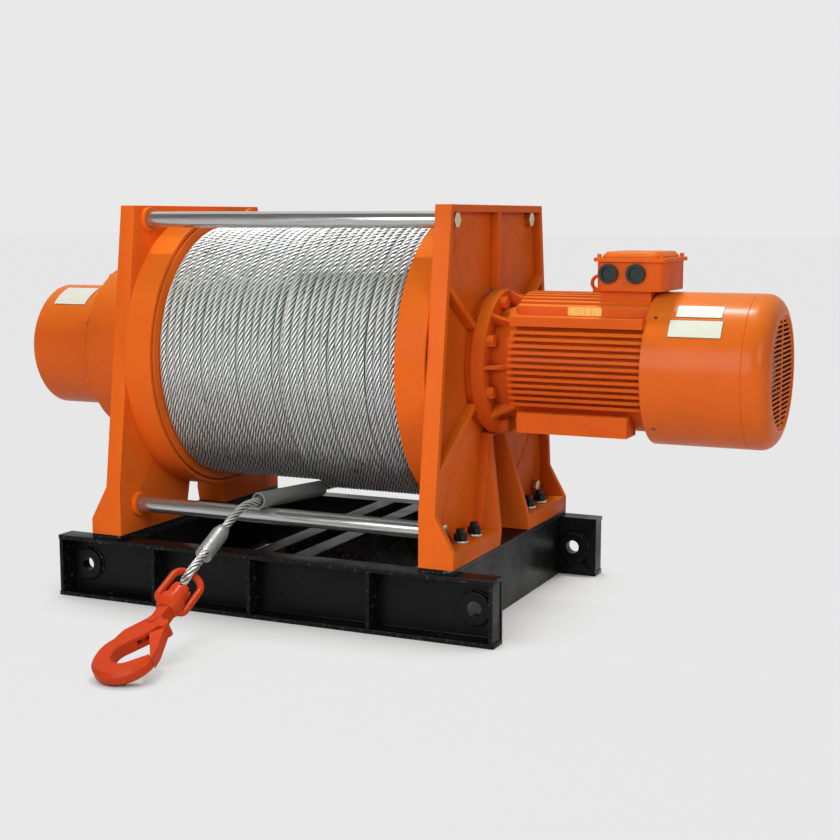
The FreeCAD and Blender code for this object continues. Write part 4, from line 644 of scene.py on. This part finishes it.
def add_bead(name, path, radius, material):
    """A weld bead: a lumpy round run along a path."""
    points = evenly(path, BEAD_SPACING)[0]
    sides, ups = cross_directions(points)
    rows = len(points)
    row = np.arange(rows)
    lumps = radius * (1.0 + 0.22 * np.sin(row * 1.9) + 0.1 * np.sin(row * 0.7))
    angles = 2 * math.pi * np.arange(BEAD_SIDES) / BEAD_SIDES
    around = (np.cos(angles)[None, :, None] * sides[:, None, :]
              + np.sin(angles)[None, :, None] * ups[:, None, :])
    rings = points[:, None, :] + lumps[:, None, None] * around
    faces = tube_faces(rows, BEAD_SIDES) + [ring_face(0, BEAD_SIDES)[::-1], ring_face(rows - 1, BEAD_SIDES)]
    add_mesh(name, rings.reshape(-1, 3).tolist(), faces, material, "winch_frame")


def arc_points(centre, radius, axis, start=0.0, end=360.0):
    """Points on an arc about X or Y through a centre."""
    made = []
    for turn in np.linspace(math.radians(start), math.radians(end), ARC_POINTS):
        a, b = radius * math.cos(turn), radius * math.sin(turn)
        offset = (0.0, a, b) if axis == "X" else (a, 0.0, b)
        made.append(tuple(c + o for c, o in zip(centre, offset)))
    return made


def make_welds():
    hole_x, hole_y, hole_z = LIFTING_HOLE
    for hand, tag in ((-1, "left"), (1, "right")):
        for side, place in ((-1, "front"), (1, "rear")):
            for face, word in SLEEVE_WELD_FACES:
                centre = (hole_x * hand, (hole_y + face) * side, hole_z)
                ring = arc_points(centre, SLEEVE_WELD_RADIUS, "Y")
                add_bead(f"sleeve_weld_{tag}_{place}_{word}", ring, SLEEVE_BEAD, BLACK_PAINT)
    for start, end, word in PLATE_WELDS:
        for hand, tag in ((1, "right"), (-1, "left")):
            arc = arc_points((PANEL_OUT * hand, 0.0, AXIS_Z), PLATE_WELD_RADIUS, "X", start, end)
            add_bead(f"plate_weld_{tag}_{word}", arc, PLATE_BEAD, PAINT)


# Bare plates and screws

PLATE_COLUMNS = 4
PLATE_ROWS = 16
PLATE_LIFT = 0.0001
PLATE_THICKNESS = 0.0006
PLATES = [("fan_plate_upper", (0.742, 0.826), (32.0, 44.0), FAN_RADIUS),
          ("fan_plate_lower", (0.734, 0.830), (47.2, 61.2), FAN_RADIUS),
          ("gear_plate", (-0.652, -0.570), (17.0, 44.6), GEAR_RADIUS)]
# How far the painted shade under each label reaches past its edges
EDGE_SHADE_WIDTH = 0.0008
EDGE_SHADE_TURN = 0.35
ABOVE_EDGE_SHADE = 0.0005
MOTOR_PLATE_X = (0.531, 0.597)
MOTOR_PLATE_Y = (-0.0822, -0.0811)
MOTOR_PLATE_Z = (0.5885, 0.6045)
MOTOR_PLATE_CORNER = 0.002
SCREW_PROFILE = [(0.0011, 0.0004), (0.0013, 0.0018), (0.0022, 0.0017), (0.0029, 0.0012), (0.0033, 0.0004),
                 (0.0034, -0.0004)]
SCREW_SIDES = 18
FAN_SCREWS = 4
FAN_SCREW_X = 0.706
FAN_SCREW_TURN = 45.4


def curved_plate(name, x_range, turn_range, radius, material):
    """A thin bare plate bent round the drum axis, by X range and by angle from straight up."""
    points = []
    for level in (radius + PLATE_LIFT, radius + PLATE_THICKNESS):
        for i in range(PLATE_ROWS + 1):
            turn = math.radians(turn_range[0] + (turn_range[1] - turn_range[0]) * i / PLATE_ROWS)
            for k in range(PLATE_COLUMNS + 1):
                x = x_range[0] + (x_range[1] - x_range[0]) * k / PLATE_COLUMNS
                points.append((x, -level * math.sin(turn), AXIS_Z + level * math.cos(turn)))
    width = PLATE_COLUMNS + 1
    layer = (PLATE_ROWS + 1) * width
    faces = []
    for i in range(PLATE_ROWS):
        for k in range(PLATE_COLUMNS):
            a = i * width + k
            faces.append([a, a + width, a + width + 1, a + 1])
            faces.append([layer + a, layer + a + 1, layer + a + width + 1, layer + a + width])
    border = list(range(width))
    border += [i * width + PLATE_COLUMNS for i in range(1, PLATE_ROWS + 1)]
    border += [PLATE_ROWS * width + k for k in range(PLATE_COLUMNS - 1, -1, -1)]
    border += [i * width for i in range(PLATE_ROWS - 1, 0, -1)]
    for here, there in zip(border, border[1:] + border[:1]):
        faces.append([here, there, layer + there, layer + here])
    add_mesh(name, points, faces, material, "winch_frame")


def add_motor_plate():
    """The bare brass plate on the motor frame, with clipped corners."""
    left, right = MOTOR_PLATE_X
    low, high = MOTOR_PLATE_Z
    clip = MOTOR_PLATE_CORNER
    outline = [(left + clip, low), (right - clip, low), (right, low + clip), (right, high - clip),
               (right - clip, high), (left + clip, high), (left, high - clip), (left, low + clip)]
    count = len(outline)
    points = [(x, y, z) for y in MOTOR_PLATE_Y for x, z in outline]
    faces = [list(range(count)), list(range(count, 2 * count))[::-1]]
    faces += [[k, k + count, (k + 1) % count + count, (k + 1) % count] for k in range(count)]
    add_mesh("motor_plate", points, faces, BRASS, "winch_frame", smooth=False)


def make_plates():
    for name, (left, right), (top, low), radius in PLATES:
        # A dark sheet under each label: painted shade round its edges
        curved_plate(f"{name}_edge_shade", (left - EDGE_SHADE_WIDTH, right + EDGE_SHADE_WIDTH), (top - EDGE_SHADE_TURN, low + EDGE_SHADE_TURN),
                     radius, LABEL_EDGE_SHADE)
        curved_plate(name, (left, right), (top, low), radius + ABOVE_EDGE_SHADE, LABEL)
    add_motor_plate()


def add_screw(name, x, turn, radius):
    """A domed socket screw standing out of a round housing on the drum axis, by angle from straight up."""
    lean = math.radians(turn)
    out = Vector((0.0, -math.sin(lean), math.cos(lean)))
    across = Vector((0.0, math.cos(lean), math.sin(lean)))
    base = Vector((x, 0.0, AXIS_Z)) + out * radius
    angles = [2.0 * math.pi * k / SCREW_SIDES for k in range(SCREW_SIDES)]
    points = [base + out * rise + Vector((reach * math.cos(angle), 0.0, 0.0))
              + across * (reach * math.sin(angle))
              for reach, rise in SCREW_PROFILE for angle in angles]
    faces = tube_faces(len(SCREW_PROFILE), SCREW_SIDES) + [ring_face(0, SCREW_SIDES)[::-1]]
    add_mesh(name, points, faces, SCREW_STEEL, "winch_frame")


def make_screws():
    for number in range(FAN_SCREWS):
        turn = FAN_SCREW_TURN + 360.0 / FAN_SCREWS * number
        add_screw(f"fan_cover_screw_{number + 1}", FAN_SCREW_X, turn, FAN_RADIUS)


# Stage, light and camera

BACKGROUND = (0.815, 0.815, 0.815, 1.0)
FLOOR_HALF = 60.0
FLOOR_COLOUR = (0.62, 0.62, 0.62, 1.0)
SHADOW_REACH = 0.35
SHADOW_STOPS = [(0.25, 0.0), (0.85, 0.97)]
ROOM_LIGHT = 0.17
# What metal mirrors, from in front of the object to behind it
MIRRORED_BANDS = [(0.0, 0.62), (0.05, 0.62), (0.14, 0.12), (0.46, 0.12), (0.56, 1.0), (0.75, 0.9),
                  (1.0, 0.72)]
WHITE = (1.0, 1.0, 1.0)
# The side light is a little yellow-green, as the faces turned to the right are in the photograph
SIDE_TINT = (0.88, 1.06, 0.80)
# Name, place, target, size, power and colour
LAMPS = [("top_lamp", (-0.02, 0.66, 3.70), (-0.02, 0.0, 0.6), (0.6, 0.16), 74.0, WHITE),
         ("front_box", (0.0, -2.3, 1.25), (0.0, 0.0, 0.5), (1.8, 1.2), 31.0, WHITE),
         ("right_box", (3.4, -1.8, 1.9), (0.4, 0.0, 0.45), (1.6, 1.6), 40.0, SIDE_TINT)]
CAMERA_PLACE = (1.4196, -2.7168, 0.7701)
CAMERA_PITCH = 7.811
CAMERA_HEADING = 24.364
FOCAL_PIXELS = 1473.0
IMAGE_PIXELS = 840.0
SENSOR_WIDTH = 36.0


def two_values(tree, operation, first, second):
    """One number worked out from two."""
    made = tree.nodes.new("ShaderNodeMath")
    made.operation = operation
    tree.links.new(first, made.inputs[0])
    tree.links.new(second, made.inputs[1])
    return made.outputs["Value"]


def mix_shaders(tree, share, first, second):
    made = tree.nodes.new("ShaderNodeMixShader")
    tree.links.new(share, made.inputs["Fac"])
    tree.links.new(first, made.inputs[1])
    tree.links.new(second, made.inputs[2])
    return made.outputs["Shader"]


def make_stage():
    """A pale floor that looks evenly lit, with the object's own shadow close about it."""
    mesh = bpy.data.meshes.new("floor")
    corners = [(-FLOOR_HALF, -FLOOR_HALF, 0), (FLOOR_HALF, -FLOOR_HALF, 0), (FLOOR_HALF, FLOOR_HALF, 0),
               (-FLOOR_HALF, FLOOR_HALF, 0)]
    mesh.from_pydata(corners, [], [(0, 1, 2, 3)])
    floor = bpy.data.objects.new("floor", mesh)
    scene.collection.objects.link(floor)
    material, tree, shader = new_material("pale_floor")
    set_inputs(shader, {"Base Color": FLOOR_COLOUR, "Roughness": 0.9, "Specular IOR Level": 0.0})
    glow = tree.nodes.new("ShaderNodeEmission")
    glow.inputs["Color"].default_value = BACKGROUND
    rays = tree.nodes.new("ShaderNodeLightPath")
    seen = two_values(tree, "MAXIMUM", rays.outputs["Is Camera Ray"], rays.outputs["Is Glossy Ray"])
    closeness = tree.nodes.new("ShaderNodeAmbientOcclusion")
    closeness.inputs["Distance"].default_value = SHADOW_REACH
    open_floor = grey_ramp(tree, closeness.outputs["AO"], SHADOW_STOPS)
    share = two_values(tree, "MULTIPLY", seen, open_floor)
    surface = mix_shaders(tree, share, shader.outputs["BSDF"], glow.outputs["Emission"])
    tree.links.new(surface, tree.nodes["Material Output"].inputs["Surface"])
    mesh.materials.append(material)


def make_world():
    """Pale all round for the camera; metal sees it with a dark ceiling in front of the object."""
    world = bpy.data.worlds.new("studio")
    scene.world = world
    world.use_nodes = True
    tree = world.node_tree
    split = tree.nodes.new("ShaderNodeSeparateXYZ")
    tree.links.new(tree.nodes.new("ShaderNodeTexCoord").outputs["Generated"], split.inputs["Vector"])
    remap = tree.nodes.new("ShaderNodeMapRange")
    remap.inputs["From Min"].default_value = -1.0
    tree.links.new(split.outputs["Y"], remap.inputs["Value"])
    mirrored = tree.nodes.new("ShaderNodeBackground")
    tree.links.new(grey_ramp(tree, remap.outputs["Result"], MIRRORED_BANDS), mirrored.inputs["Color"])
    light = tree.nodes["Background"]
    set_inputs(light, {"Color": (*WHITE, 1.0), "Strength": ROOM_LIGHT})
    seen = tree.nodes.new("ShaderNodeBackground")
    seen.inputs["Color"].default_value = BACKGROUND
    rays = tree.nodes.new("ShaderNodeLightPath")
    unseen = mix_shaders(tree, rays.outputs["Is Glossy Ray"], light.outputs["Background"],
                         mirrored.outputs["Background"])
    surface = mix_shaders(tree, rays.outputs["Is Camera Ray"], unseen, seen.outputs["Background"])
    tree.links.new(surface, tree.nodes["World Output"].inputs["Surface"])


def make_lights():
    for name, place, target, size, power, colour in LAMPS:
        data = bpy.data.lights.new(name, "AREA")
        data.shape = "RECTANGLE"
        data.size, data.size_y = size
        data.energy = power
        data.color = colour
        lamp = bpy.data.objects.new(name, data)
        scene.collection.objects.link(lamp)
        lamp.location = place
        lamp.rotation_euler = (Vector(target) - Vector(place)).to_track_quat("-Z", "Y").to_euler()


def make_camera():
    data = bpy.data.cameras.new("camera")
    data.sensor_width = SENSOR_WIDTH
    data.lens = SENSOR_WIDTH * FOCAL_PIXELS / IMAGE_PIXELS
    camera = bpy.data.objects.new("camera", data)
    scene.collection.objects.link(camera)
    camera.location = CAMERA_PLACE
    camera.rotation_euler = Euler((math.radians(90.0 - CAMERA_PITCH), 0.0, math.radians(CAMERA_HEADING)))
    scene.camera = camera


scene.view_settings.view_transform = "Standard"
make_camera()
dress_nodes()
make_winding()
make_tail()
make_welds()
make_plates()
make_screws()
make_stage()
make_world()
make_lights()
